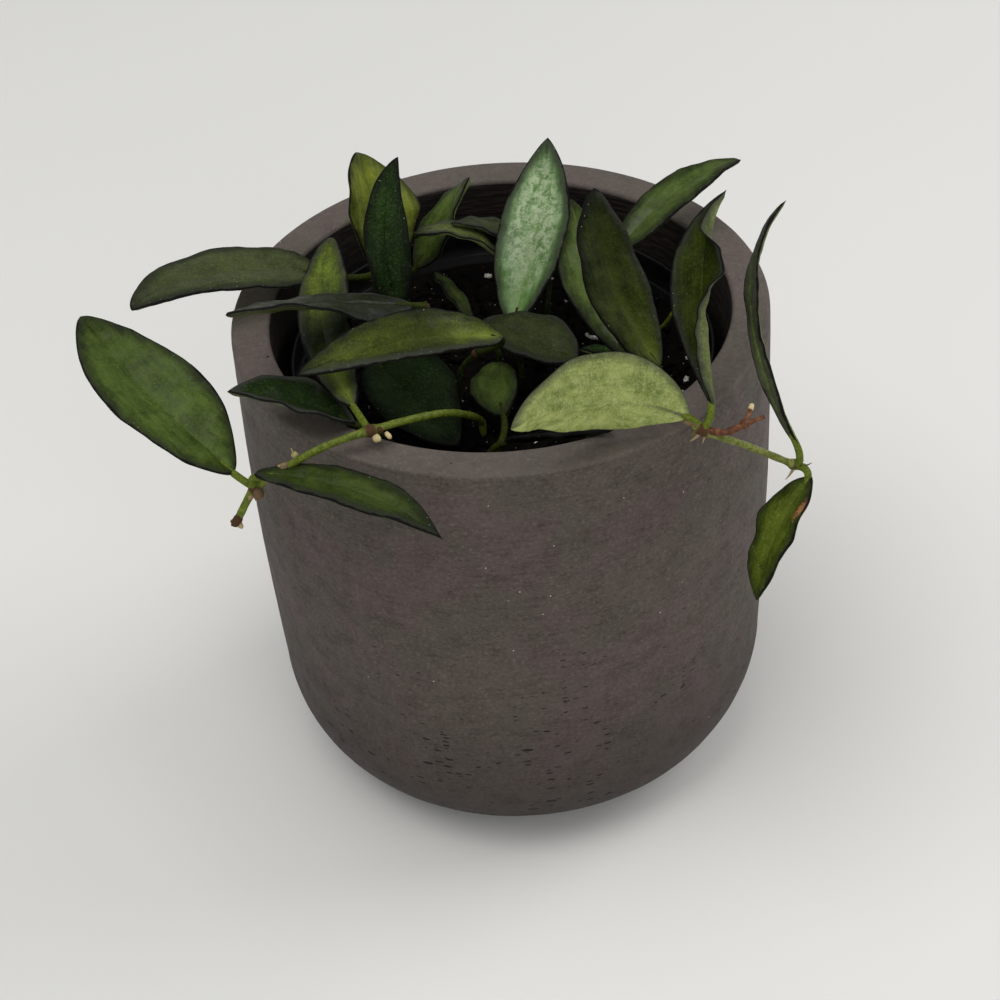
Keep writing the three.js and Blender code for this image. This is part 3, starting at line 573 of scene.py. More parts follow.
class LeafFinish(Finish):
    """The finish of a hoya leaf, made from measures that its mesh holds and from a few noises."""

    def __init__(self, name, look):
        super().__init__(name, specular_ior_level=0.06, coat_roughness=0.3)
        self.look = look
        self.place = self.point()
        self.margin, self.across, self.along, self.below, self.shade, self.rib = (
            self.measure(key) for key in ("margin", "across", "along", "below", "shade", "rib")
        )
        self.blotch = self.cloud(self.place, 6, 4, 0.6, 0.3)
        self.pucker = self.cloud(self.place, 2.2, 4, 0.6, 0.4)
        self.fleck = self.cloud(self.place, 0.6, 3, 0.65)
        drawn_out = {0: self.across, 1: self.along * 0.16, 2: self.below * 9}
        self.flow = self.cloud(self.node("ShaderNodeCombineXYZ", {}, drawn_out), 1.6, 3, 0.6, 0.3)

    def upper_side(self, deep, light, painted_glare):
        """Streaked green with light flecks and dots, a clear midrib and, on the silvery leaf, painted glare on
        its wrinkles.
        """
        pucker, fleck, flow = self.pucker, self.fleck, self.flow
        mottle = self.blotch * 0.6 + pucker * 0.2 + flow * 0.3 + fleck * 0.1
        colour = self.blend(self.step(mottle, 0.3, 0.88), deep, light)
        colour = self.blend(self.step(fleck, 0.5, 0.7) * 0.3, colour, self.look.fleck)
        colour = self.blend(self.step(fleck, 0.26, 0.42, 0.35, 0.0), colour, deep)
        # Painted reflection: the glare on the silvery leaf's wrinkles is a pale colour, stronger towards the
        # tip.
        if painted_glare:
            shine = self.step(pucker * 0.65 + fleck * 0.4, 0.38, 0.68)
            shine = shine * self.step(self.margin + flow * 3, 2.5, 7)
            colour = self.blend(shine * self.step(self.along, 4, 22, 0.2, 0.9), colour, painted_glare)
        colour = self.blend(self.step(pucker * 0.6 + fleck * 0.4, 0.54, 0.74) * 0.35, colour, self.look.fleck)
        dot = self.specks(self.place, size=2.4, widest=0.075, pick=0.72)
        dot = dot + self.specks(self.place, size=1.1, widest=0.12, pick=0.86)
        colour = self.blend(dot * 0.5, colour, self.look.dot)
        near = self.step(abs(self.across) + flow * 4, 1.4, 5.5, 0.35, 0.0)
        line = self.step(abs(self.across) + pucker * 0.5, 0.3, 0.8, 0.35, 0.0)
        return self.blend(near.larger(line) * self.rib, colour, self.look.midrib)

    def underside(self, main):
        """A paler, mottled green with a fine light grain, and painted shade where it is creased along the
        midrib.
        """
        mottle = self.step(self.blotch * 0.6 + self.flow * 0.4, 0.36, 0.66)
        colour = self.blend(mottle, main, self.look.under_dark)
        grain = self.step(self.fleck * 0.6 + self.pucker * 0.4, 0.42, 0.66) * 0.5
        colour = self.blend(grain, colour, self.look.under_light)
        # Painted shade where the underside is creased along the midrib.
        crease_shade = self.step(abs(self.across) + self.pucker * 0.4, 0.3, 0.7, 0.8, 0.0) * self.rib
        return self.blend(crease_shade, colour, self.look.edge_haze)

    def shaded(self, colour):
        """A colour lit or shaded by the painted light and shade in the mesh, and on the upper side darker
        towards the margin.
        """
        rim = self.step(self.margin + (self.flow - 0.5) * 3, 0.2, 4.5, 0.4, 1.2)
        return self.blend(1.0, colour, self.shade * self.step(self.below, 0.5, 0.8, rim, 1.0), "MULTIPLY")

    def scarred(self, colour):
        """A colour with a dry brown scar where the mesh holds one."""
        scar = self.step(self.measure("scar") + (self.fleck - 0.5) * 1.2, 0.5, 0.75)
        dry = self.blend(self.step(self.pucker, 0.4, 0.6), self.look.scar, self.look.cork)
        return self.blend(scar, colour, dry)

    def hazed(self, colour):
        """A colour with a grey haze near the margin, and painted glints along it."""
        inward = self.margin + (self.blotch - 0.5) * 1.4 + (self.pucker - 0.5) * 1.6
        haze = self.step(inward, 0.4, 3.0, 1.0, 0.0) * self.measure("haze")
        colour = self.blend(haze * 0.8, colour, self.look.edge_haze)
        # Painted highlights: tiny glints along the margin, in the colour of the light dots.
        painted_glint = self.specks(self.place, size=1.3, widest=0.13, pick=0.6)
        return self.blend(painted_glint * self.step(inward, 0.3, 2.6, 0.9, 0.0), colour, self.look.dot)

    def edge(self):
        """Where the near-black margin is, fainter on the underside."""
        inward = self.margin + (self.pucker - 0.5) * 0.8 + (self.blotch - 0.5) * 1.6
        faded = self.step(self.below, 0.55, 0.8, 1.0, self.look.under_edge)
        return self.step(inward, 0.15, 0.7, 0.96, 0.0) * faded

    def leaf_stalk(self):
        """The colour of the short stalk that carries the blade, with painted shade on the stalks inside the
        pot.
        """
        colour = self.blend(self.step(self.fleck, 0.4, 0.65), self.look.stalk, self.look.stalk_dark)
        return self.blend(1.0, colour, self.shade, "MULTIPLY")


def leaf_finish(name, deep, light, look, under=None, painted_glare=None):
    """A hoya leaf: streaked green, a near-black margin with a grey haze inside, and paler below."""
    finish = LeafFinish(name, look)
    top = finish.upper_side(deep, light, painted_glare)
    colour = finish.blend(finish.step(finish.below, 0.55, 0.8), top, finish.underside(under or look.under))
    colour = finish.hazed(finish.scarred(finish.shaded(colour)))
    edge = finish.edge()
    colour = finish.blend(edge, colour, look.edge)
    colour = finish.blend(finish.measure("stalk"), colour, finish.leaf_stalk())
    dull = look.leaf_roughness
    rough = finish.step(finish.pucker, 0.3, 0.7, dull, dull + 0.12) + edge * 0.2
    gloss = finish.measure("sheen") * finish.step(finish.pucker, 0.3, 0.7, 1.0, 0.4)
    gloss = gloss * finish.step(finish.margin, 0.8, 3.5)
    relief = finish.blotch * 0.5 + finish.pucker * 0.55 + finish.flow * 0.3 + finish.fleck * 0.06
    return finish.feed(base_color=colour, roughness=rough, coat_weight=gloss, normal=finish.bump(relief, 0.75))


# Meshes


def uneven(place, swells):
    """Noise at a place, as the sum of swells that are given as depth and length."""
    return sum(depth * noise.noise(place / length) for depth, length in swells)


def add_piece(name, points, faces, material, measures=None):
    """A smooth mesh object from points in millimetres, with the values that its finish reads."""
    mesh = bpy.data.meshes.new(name)
    mesh.from_pydata([[part * MM for part in point] for point in points], [], faces)
    for key, values in (measures or {}).items():
        mesh.attributes.new(key, "FLOAT", "POINT").data.foreach_set("value", values)
    mesh.materials.append(material)
    mesh.shade_smooth()
    mesh.validate()
    piece = bpy.data.objects.new(name, mesh)
    bpy.context.scene.collection.objects.link(piece)
    return piece


def turned(profile, around, lift=None):
    """A closed turned body from a profile of (radius, height) that starts and ends on the axis."""
    points = [(0, 0, profile[0][1])]
    for radius, height in profile[1:-1]:
        for i in range(around):
            angle = 2 * math.pi * i / around
            points.append((radius * math.cos(angle), radius * math.sin(angle), height))
    points.append((0, 0, profile[-1][1]))
    if lift:
        points = [lift(*point) for point in points]
    rings = len(profile) - 2
    faces = []
    for i in range(around):
        j = (i + 1) % around
        faces.append((0, 1 + j, 1 + i))
        for ring in range(rings - 1):
            a, b = 1 + ring * around, 1 + (ring + 1) * around
            faces.append((a + i, a + j, b + j, b + i))
        last = 1 + (rings - 1) * around
        faces.append((last + i, last + j, len(points) - 1))
    return points, faces


def densified(profile, longest):
    """The same profile, with no step longer than the given length."""
    fine = [profile[0]]
    for (r0, z0), (r1, z1) in zip(profile, profile[1:]):
        steps = max(1, math.ceil(math.hypot(r1 - r0, z1 - z0) / longest))
        fine += [(r0 + (r1 - r0) * i / steps, z0 + (z1 - z0) * i / steps) for i in range(1, steps + 1)]
    return fine


def quarter_round(start, end, steps):
    """Points of a quarter ellipse that leaves the first point level and meets the second upright."""
    (r0, z0), (r1, z1) = start, end
    angles = [math.pi / 2 * i / steps for i in range(steps + 1)]
    return [(r0 + (r1 - r0) * math.sin(a), z0 + (z1 - z0) * (1 - math.cos(a))) for a in angles]


def curve_points(points, spacing):
    """Points along a smooth centripetal curve through the given ones."""
    knots = [Vector(point) for point in points]
    ends = [2 * knots[0] - knots[1], *knots, 2 * knots[-1] - knots[-2]]
    line = []
    for p0, p1, p2, p3 in zip(ends, ends[1:], ends[2:], ends[3:]):
        d0, d1, d2 = (math.sqrt((b - a).length) for a, b in ((p0, p1), (p1, p2), (p2, p3)))
        t1 = d1 * ((p1 - p0) / d0 - (p2 - p0) / (d0 + d1) + (p2 - p1) / d1)
        t2 = d1 * ((p2 - p1) / d1 - (p3 - p1) / (d1 + d2) + (p3 - p2) / d2)
        steps = max(2, round((p2 - p1).length / spacing))
        for i in range(steps):
            t = i / steps
            square, cube = 3 * (p2 - p1) - 2 * t1 - t2, 2 * (p1 - p2) + t1 + t2
            line.append(p1 + t1 * t + square * t ** 2 + cube * t ** 3)
    return [*line, knots[-1]]


def tube(line, radii, sides):
    """A closed round tube along a line of points, with a radius at each."""
    points, faces = [], []
    side = None
    for k, here in enumerate(line):
        ahead = line[min(k + 1, len(line) - 1)] - line[max(k - 1, 0)]
        ahead.normalize()
        side = ahead.orthogonal() if side is None else side - side.dot(ahead) * ahead
        side.normalize()
        other = ahead.cross(side)
        for i in range(sides):
            angle = 2 * math.pi * i / sides
            points.append(here + radii[k] * (math.cos(angle) * side + math.sin(angle) * other))
    for k in range(len(line) - 1):
        a, b = k * sides, (k + 1) * sides
        faces += [(a + i, a + (i + 1) % sides, b + (i + 1) % sides, b + i) for i in range(sides)]
    faces.append(tuple(range(sides - 1, -1, -1)))
    faces.append(tuple(range(len(points) - sides, len(points))))
    return points, faces


def lump(centre, size, roughness, seed, stretch=(1, 1, 1), turn=None):
    """A small uneven closed lump: an icosahedron, cut once and made rough by noise."""
    golden = (1 + math.sqrt(5)) / 2
    corners = []
    for a in (-1, 1):
        for b in (-golden, golden):
            corners += [(0, a, b), (a, b, 0), (b, 0, a)]
    corners = [Vector(corner).normalized() for corner in corners]
    edge_limit = 1.1
    triples = [
        (i, j, k)
        for i in range(12) for j in range(i + 1, 12) for k in range(j + 1, 12)
        if all((corners[a] - corners[b]).length < edge_limit for a, b in ((i, j), (j, k), (i, k)))
    ]
    faces, index = [], {}

    def middle(a, b):
        key = (min(a, b), max(a, b))
        if key not in index:
            index[key] = len(corners)
            corners.append(((corners[a] + corners[b]) / 2).normalized())
        return index[key]

    for i, j, k in triples:
        if (corners[j] - corners[i]).cross(corners[k] - corners[i]).dot(corners[i]) < 0:
            j, k = k, j
        a, b, c = middle(i, j), middle(j, k), middle(k, i)
        faces += [(i, a, c), (a, j, b), (c, b, k), (a, b, c)]
    points = []
    own_place = Vector((seed * 7.3, seed * 1.9, seed * 3.1))
    for corner in corners:
        reach = size * (1 + roughness * noise.noise(corner * 1.7 + own_place))
        point = Vector([part * reach * share for part, share in zip(corner, stretch)])
        if turn:
            point.rotate(turn)
        points.append(point + Vector(centre))
    return points, faces


def join(parts):
    """Several sets of points and faces as one."""
    points, faces = [], []
    for some_points, some_faces in parts:
        start = len(points)
        points += list(some_points)
        faces += [tuple(start + i for i in face) for face in some_faces]
    return points, faces


# Pots and soil


def pot_profile():
    """The outer pot's section: flat foot, quarter-round bottom, near-straight wall, flat rim and cavity."""
    foot, shoulder, shoulder_height = 42.5, 73.2, 35
    bulge, rounding = 1.1, 1.2
    mouth, draft = MOUTH_RADIUS, 1.2
    floor, floor_radius, floor_round = 16, 48, 26
    wall = []
    for i in range(1, 13):
        part = i / 12
        radius = shoulder + (POT_RADIUS - shoulder) * part + bulge * 4 * part * (1 - part)
        wall.append((radius, shoulder_height + (POT_HEIGHT - rounding - shoulder_height) * part))
    corner = [math.pi / 2 * i / 4 for i in range(1, 5)]
    outside = [
        (POT_RADIUS - rounding * (1 - math.cos(a)), POT_HEIGHT - rounding * (1 - math.sin(a))) for a in corner
    ]
    inside = [
        (mouth + rounding * (1 - math.sin(a)), POT_HEIGHT - rounding * (1 - math.cos(a))) for a in [0, *corner]
    ]
    cavity = quarter_round((floor_radius, floor), (mouth - draft, floor + floor_round), 14)
    cavity.reverse()
    bottom = quarter_round((foot, 0), (shoulder, shoulder_height), 22)
    return [(0, 0), *bottom, *wall, *outside, *inside, *cavity, (0, floor)]


def hand_cast(x, y, z):
    """Moves a point of the pot by the small unevenness of a cast wall."""
    reach = math.hypot(x, y)
    if reach < 1:
        return x, y, z
    faded_below = 12
    swell = uneven(Vector((x, y, z)), CAST_SWELLS) * min(1, z / faded_below)
    return x * (1 + swell / reach), y * (1 + swell / reach), z


def nursery_radius(height):
    """The outer radius of the nursery pot's tapered wall at a height."""
    widening = NURSERY_NECK_RADIUS - NURSERY_FOOT_RADIUS
    return NURSERY_FOOT_RADIUS + widening * (height - NURSERY_BASE) / (NURSERY_NECK - NURSERY_BASE)


def soil_lift(x, y, z):
    """The soil's uneven top: the same slow swell as the solid, with lumps added."""
    reach = math.hypot(x, y) / (nursery_radius(SOIL_HEIGHT) - NURSERY_WALL)
    if z < SOIL_HEIGHT - 0.5:
        return x, y, z
    fade = max(0, 1 - reach ** 4)
    swell = math.sin(x * 0.19 + 1) * math.cos(y * 0.16) + 0.5 * math.sin(x * 0.31 - y * 0.27)
    lumps = uneven(Vector((x, y, 0)), PEAT_LUMPS)
    return x, y, z + 1.1 * fade * swell + lumps * min(1, fade * 3)


def soil_top(x, y):
    """The height of the soil at a place."""
    return soil_lift(x, y, SOIL_HEIGHT)[2]


class HOYA_OT_outer_pot(bpy.types.Operator):
    """Build the outer pot of fibre clay"""

    bl_idname = "hoya.outer_pot"
    bl_label = "Outer Pot"

    def execute(self, context):
        look = context.scene.hoya_pots
        points, faces = turned(densified(pot_profile(), 1.6), look.pot_segments, hand_cast)
        pot = add_piece("outer_pot_cast", points, faces, clay_finish(look))
        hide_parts("outer_pot")
        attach(pot, "root")
        return {"FINISHED"}


class HOYA_OT_nursery_pot(bpy.types.Operator):
    """Build the plastic nursery pot that stands inside"""

    bl_idname = "hoya.nursery_pot"
    bl_label = "Nursery Pot"

    def execute(self, context):
        look = context.scene.hoya_pots
        wall, rim, neck = NURSERY_WALL, NURSERY_LIP_RADIUS, NURSERY_NECK
        inside = NURSERY_BASE + wall
        lip = [
            (rim - 0.3, neck), (rim, neck + 0.4), (rim, NURSERY_TOP - 0.5),
            (rim - 0.25, NURSERY_TOP - 0.1), (rim - 0.55, NURSERY_TOP), (rim - 0.85, NURSERY_TOP - 0.1),
            (rim - wall, NURSERY_TOP - 0.5), (rim - wall, neck + 0.3),
        ]
        profile = [
            (0, NURSERY_BASE), (NURSERY_FOOT_RADIUS - 0.4, NURSERY_BASE),
            (NURSERY_FOOT_RADIUS, NURSERY_BASE + 0.5), (NURSERY_NECK_RADIUS, neck), *lip,
            (nursery_radius(neck) - wall, neck - wall), (nursery_radius(inside) - wall, inside), (0, inside),
        ]
        points, faces = turned(densified(profile, 6), 160)
        pot = add_piece("nursery_pot_moulded", points, faces, plastic_finish(look))
        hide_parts("nursery_pot")
        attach(pot, "root")
        return {"FINISHED"}


class HOYA_OT_soil(bpy.types.Operator):
    """Build the peat, its crumbs and the perlite grains"""

    bl_idname = "hoya.soil"
    bl_label = "Soil"

    def execute(self, context):
        look = context.scene.hoya_soil
        floor, ring_count = NURSERY_BASE + SOIL_INSET, 90
        top = nursery_radius(SOIL_HEIGHT) - SOIL_INSET
        rings = [(top * (1 - i / ring_count), SOIL_HEIGHT) for i in range(ring_count)]
        profile = [
            (0, floor), (nursery_radius(floor) - SOIL_INSET, floor), (top, SOIL_HEIGHT - 0.6), *rings,
            (0, SOIL_HEIGHT),
        ]
        points, faces = turned(profile, 260, soil_lift)
        peat = peat_finish(look)
        soil = add_piece("soil_peat", points, faces, peat)
        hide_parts("soil")
        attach(soil, "root")
        self.scatter("soil_crumbs", look.crumbs, peat, sizes=(0.7, 2.2), roughness=0.9, seed=11)
        white = grain_finish(look)
        self.scatter("soil_perlite", look.perlite_grains, white, sizes=(0.5, 1.5), roughness=0.6, seed=23)
        return {"FINISHED"}

    @staticmethod
    def scatter(name, count, material, sizes, roughness, seed):
        """Strews lumps over the soil, most of them small, as one piece."""
        spread = 54
        draw = random.Random(seed)
        parts = []
        for number in range(count):
            reach = spread * math.sqrt(draw.random())
            angle = 2 * math.pi * draw.random()
            x, y = reach * math.cos(angle), reach * math.sin(angle)
            size = sizes[0] + (sizes[1] - sizes[0]) * draw.random() ** 2
            stretch = (1 + draw.random(), 0.6 + 0.4 * draw.random(), 0.5 + 0.3 * draw.random())
            spin = Quaternion((0, 0, 1), 2 * math.pi * draw.random())
            turn = spin @ Quaternion((1, 0, 0), 0.6 * draw.random())
            centre = (x, y, soil_top(x, y) + 0.15 * size)
            parts.append(lump(centre, size, roughness, number + seed, stretch, turn))
        piece = add_piece(name, *join(parts), material)
        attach(piece, "root")


# Vines


def vine_line(vine):
    """The vine's line: straight up through its hole in the soil, then along its route."""
    x, y = vine["root"]
    return [(x, y, ROOT_HEIGHT), (x, y, COLLAR_HEIGHT), (x, y, COLLAR_HEIGHT + 1.5), *vine["route"]]


def vine_mesh(vine):
    """A vine: a round stem with a soft swelling and corky skin at each knot."""
    radius, knot = vine.get("radius", 1.2), vine.get("knot", 1.9)
    spacing, knot_reach, sides = 0.5, 1.9, 14
    slimness, wobble, knot_share = 0.68, 0.07, 0.9
    line = curve_points(vine_line(vine), spacing)
    knots = [Vector(vine["route"][i]) for i in vine["knots"]]
    radii, cork = [], []
    for k, here in enumerate(line):
        nearness = max([math.exp(-(((here - place).length / knot_reach) ** 2)) for place in knots], default=0)
        stem = radius * (slimness + wobble * noise.noise(here / 2.5))
        end = min(1, 0.35 + 0.5 * (len(line) - 1 - k))
        radii.append((stem + (knot - radius) * knot_share * nearness) * end)
        cork.append(nearness)
    points, faces = tube(line, radii, sides)
    measures = {"cork": [value for value in cork for _ in range(sides)], "cream": [0.0] * len(points)}
    return points, faces, measures


def even(points, **values):
    """Measures that are the same at every point."""
    return {key: [value] * len(points) for key, value in values.items()}


def bud(centre, size, aim, seed, cork, cream):
    """A small pointed bud or cut end that sits on a vine, with how corky and how creamy it is."""
    turn = Vector((0, 0, 1)).rotation_difference(Vector(aim))
    points, faces = lump(centre, size, 0.35, seed, (0.8, 0.8, 1.25), turn)
    return points, faces, even(points, cork=cork, cream=cream)


def whisker(start, end, radius, cork, cream):
    """A thin tapering rootlet or bract from a vine."""
    start, end = Vector(start), Vector(end)
    steps, sag, taper = 6, 0.3, 0.14
    shares = [i / steps for i in range(steps + 1)]
    line = [start.lerp(end, share) - Vector((0, 0, sag * math.sin(math.pi * share))) for share in shares]
    points, faces = tube(line, [radius * (1 - taper * i) for i in range(steps + 1)], 7)
    return points, faces, even(points, cork=cork, cream=cream)


def joined_with(parts):
    """Several meshes with their measures as one."""
    points, faces = join([part[:2] for part in parts])
    return points, faces, {key: sum((list(part[2][key]) for part in parts), []) for key in parts[0][2]}


# The buds and cut ends of a vine: centre, size, aim, seed, and how corky and how creamy each is
BUDS = {
    "front_vine": (
        ((-34.2, -60.4, 153.6), 1.5, (0.2, -0.8, 0.3), 1, 0.45, 0.75),
        ((-31.2, -59.2, 153.2), 0.95, (0.5, -0.6, -0.5), 2, 0.3, 0.9),
        ((-33.4, -58.6, 154.6), 1.2, (0, -0.4, 0.6), 3, 1.0, 0.0),
        ((-55.8, -62.2, 151.2), 1.1, (-0.1, -0.3, 1), 4, 0.1, 0.45),
        ((-58.6, -63.6, 149.2), 1.15, (-0.8, -0.5, 0), 5, 1.1, 0.25),
        ((-59.6, -63.2, 148.6), 0.8, (-1, -0.2, 0.3), 6, 1.2, 0.5),
        ((-66.4, -64.6, 141.6), 1.9, (0, -0.6, -0.2), 7, 0.85, 0.1),
        ((-68.4, -64.6, 140.2), 0.9, (-0.6, -0.6, 0), 8, 1.0, 0.35),
        ((-73, -65.2, 133.2), 1.75, (-0.5, 0, -0.9), 9, 1.3, 0.0),
        ((-72.2, -65.8, 131.9), 0.9, (0.2, -0.3, -0.9), 10, 0.5, 0.6),
        ((-73.9, -64.6, 132.6), 0.85, (-0.9, 0, -0.4), 11, 1.3, 0.1),
    ),
    "right_vine": (
        ((48.6, -65, 153.8), 1.7, (-0.8, 0.3, 0.5), 12, 1.1, 0.12),
        ((46.6, -64.4, 154.8), 1.3, (-1, 0, 0.3), 13, 1.0, 0.2),
        ((48.2, -65.4, 151.6), 1.2, (0, -0.4, -1), 14, 1.2, 0.15),
        ((75.4, -61.2, 135.6), 1.7, (0.4, -0.2, 0.5), 15, 1.25, 0.0),
        ((77, -61.4, 134.6), 1.1, (0.9, 0, -0.2), 16, 1.2, 0.1),
    ),
}

# Root tips and bracts: start, end, radius, and how corky and how creamy each is
WHISKERS = {
    "front_vine": (
        ((-58.6, -63.4, 149.2), (-61.6, -64.8, 148.6), 0.32, 1.0, 0.5),
        ((-58.6, -63.4, 149), (-60.8, -65.2, 147), 0.3, 1.2, 0.2),
        ((-55.8, -62.2, 151.4), (-56.4, -62.6, 154), 0.6, 0.0, 0.4),
    ),
    "right_vine": (
        ((49.6, -66.4, 152.8), (46.6, -67, 150.4), 0.65, 1.0, 0.4),
        ((50.6, -66.4, 152.6), (49.8, -67.4, 149.8), 0.5, 1.0, 0.5),
        ((50.8, -65.2, 153.8), (53.4, -64.2, 155.6), 0.5, 1.1, 0.2),
        ((74.6, -61.8, 134.8), (72.2, -62.6, 131.6), 0.5, 1.0, 0.5),
        ((76.4, -61.8, 135.2), (79.2, -62.2, 136.4), 0.4, 1.2, 0.1),
        ((76.6, -62, 134.4), (78.6, -62.6, 132.4), 0.35, 1.0, 0.3),
    ),
}


class HOYA_OT_vines(bpy.types.Operator):
    """Build the vines and the bare stalk"""

    bl_idname = "hoya.vines"
    bl_label = "Vines"

    def execute(self, context):
        look = context.scene.hoya_plant
        outer = vine_finish("vine_skin", look.vine, look.vine_light, look)
        right = vine_finish("right_vine_skin", look.right_vine, look.right_vine_light, look)
        # Painted shade: the vines inside the pot get a darker copy of the vine finish.
        inner = vine_finish("shaded_inner_vine_skin", look.inner_vine, look.inner_vine_light, look)
        for name, vine in VINES.items():
            parts = [vine_mesh(vine)]
            parts += [bud(*values) for values in BUDS.get(name, ())]
            parts += [whisker(*values) for values in WHISKERS.get(name, ())]
            points, faces, measures = joined_with(parts)
            material = right if name == "right_vine" else outer if name in OUTER_VINES else inner
            stem = add_piece(name + "_stem", points, faces, material, measures)
            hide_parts(name)
            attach(stem, "root")
        return {"FINISHED"}


class HOYA_OT_flower_stalk(bpy.types.Operator):
    """Build the red flower stalk on the right vine"""

    bl_idname = "hoya.flower_stalk"
    bl_label = "Flower Stalk"

    def execute(self, context):
        look = context.scene.hoya_plant
        fork = (61, -66, 154)
        stalk = curve_points([(50, -66, 153), (56, -67.5, 153), fork], 0.4)
        parts = [tube(stalk, [1.0 + 0.25 * noise.noise(p) for p in stalk], 12), lump(fork, 1.4, 0.5, 3)]
        for tip in ((63, -61, 155), (66, -66, 156)):
            prong = curve_points([fork, tip], 0.4)
            parts.append(tube(prong, [0.78 - 0.02 * k for k in range(len(prong))], 10))
        points, faces = join(parts)
        forked = (points, faces, even(points, cork=0.0, cream=0.0))
        pale_tip = bud((63.2, -60.6, 155.2), 0.95, (0.4, 0.9, 0.2), 17, 0.0, 1.0)
        points, faces, measures = joined_with([forked, pale_tip])
        material = vine_finish("flower_stalk_skin", look.flower_red, look.flower_orange, look)
        piece = add_piece("flower_stalk_skin", points, faces, material, measures)
        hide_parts("flower_stalk")
        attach(piece, "root")
        return {"FINISHED"}


# Leaves


def value_at(value, part):
    """A value that holds for the whole leaf, or the one at a part of its length where it is a list."""
    if not isinstance(value, tuple):
        return value
    place = min(max(part, 0), 1) * (len(value) - 1)
    before = min(int(place), len(value) - 2)
    share = (place - before) ** 2 * (3 - 2 * (place - before))
    return value[before] + (value[before + 1] - value[before]) * share


def blade_frames(leaf, rows):
    """Where the midrib runs: a point, the way ahead, the way left and the way up at each row."""
    heading, rise = math.radians(leaf["heading"]), math.radians(leaf["rise"])
    along = Vector((math.cos(heading) * math.cos(rise), math.sin(heading) * math.cos(rise), math.sin(rise)))
    left = Vector((-math.sin(heading), math.cos(heading), 0))
    left.rotate(Quaternion(along, math.radians(leaf.get("roll", 0))))
    point = Vector(leaf["base"])
    frames = []
    for row in range(rows + 1):
        frames.append((point.copy(), along.copy(), left.copy(), along.cross(left)))
        bend, sway, twist = (
            math.radians(value_at(leaf.get(key, 0), (row + 0.5) / rows)) / rows / 2
            for key in ("bend", "sway", "twist")
        )
        for move in (leaf["length"] / rows, 0):
            along.rotate(Quaternion(left, bend))
            turn = Quaternion(along.cross(left), sway)
            along.rotate(turn)
            left.rotate(turn)
            left.rotate(Quaternion(along, twist))
            point = point + along * move
    return frames


def half_width(leaf, part):
    """Half the blade's width at a part of its length, before the two sides differ."""
    inside = min(max(part, 0), 1)
    swell = max(math.sin(math.pi * inside ** leaf.get("belly", BELLY)), 0)
    blunt = leaf.get("blunt", BLUNT)
    return leaf["width"] / 2 * swell ** (blunt + (leaf.get("tip", blunt) - blunt) * inside)


def blade_ring():
    """Places around the blade's section, as side and face.

    Side runs from -1 at the right margin to 1 at the left one. Face is 1 above and -1 below.
    """
    shares = [i / (COLUMNS / 2) - 1 for i in range(COLUMNS + 1)]
    sides = [math.copysign(3 * s * s - 2 * abs(s) ** 3, s) for s in shares]
    return [(side, 1) for side in sides] + [(side, -1) for side in reversed(sides[1:-1])]


def hand_of(side):
    """Which half of the blade a place is on."""
    return "left" if side > 0 else "right"


def side_width(leaf, part, side):
    """The width of one half of the blade at a part of its length."""
    return max(half_width(leaf, part) * value_at(leaf.get(hand_of(side), 1), part), NARROWEST)


def blade_relief(leaf, part, side, half, fade):
    """How far the ripples and puckers raise the blade."""
    phase = 2 * math.pi * WAVES * part + (WAVE_LAG if side > 0 else 0)
    ripple = leaf.get("wave", WAVE) * side * side * math.sin(phase) * fade
    spot = Vector((side * half, part * leaf["length"], leaf["width"] / 2))
    return ripple + fade * uneven(spot, PUCKERS)


def blade_thickness(leaf, part, side, half, thick, edge):
    """How thick the blade is: round at its margins, and thinner at its tip and where it is narrow."""
    round_off = max(0, 1 - (half - abs(side * half)) / MARGIN_ROUNDING)
    tip_gap = (1 - part) * leaf["length"]
    thickness = (edge + (thick - edge) * (1 - side * side)) * math.sqrt(max(0, 1 - round_off ** 2))
    return thickness * (min(1, 0.25 + tip_gap / 2.5) * min(1, 0.4 + half / 2))


def blade_point(leaf, stance, part, side, face, thick, edge):
    """A point of the blade's skin. Each half is an arc that leaves the midrib by fold and curl."""
    point, _, left, up = stance
    half = side_width(leaf, part, side)
    fade = min(1, 1.3 * half / (leaf["width"] / 2))
    fold = leaf.get(hand_of(side) + "_fold", leaf.get("fold", FOLD))
    curl = leaf.get(hand_of(side) + "_curl", leaf.get("curl", CURL))
    raised = math.radians(value_at(fold, part))
    turn = math.radians(value_at(curl, part)) or 0.001
    reach = abs(side)
    chord = half * 2 * math.sin(turn * reach / 2) / turn
    angle = raised + turn * (reach - 1) / 2
    slope = (raised + turn * (reach - 0.5)) * min(1, reach / 0.12)
    outward = left * math.copysign(1, side)
    middle = point + outward * (chord * math.cos(angle)) + up * (chord * math.sin(angle))
    normal = up * math.cos(slope) - outward * math.sin(slope)
    groove_width, groove_above, groove_below, steepest = 0.8, 0.1, 0.4, 0.7
    groove = math.exp(-((side * half / groove_width) ** 2)) * fade
    lift = blade_relief(leaf, part, side, half, fade)
    lift += 0.5 * math.tan(max(-steepest, min(raised, steepest))) * groove
    skin = face * blade_thickness(leaf, part, side, half, thick, edge) / 2
    lift += skin - (groove_above if face > 0 else groove_below) * groove * (1 - part) ** 0.5
    return middle + normal * lift


def scar_at(tint, ahead, across):
    """How dry the blade is at a place: 1 in the middle of its scar and 0 away from it."""
    if "scar" not in tint:
        return 0.0
    scar_ahead, scar_across = tint["scar"]
    scar_length, scar_width = 5, 1.8
    return math.exp(-((ahead - scar_ahead) / scar_length) ** 2 - ((across - scar_across) / scar_width) ** 2)


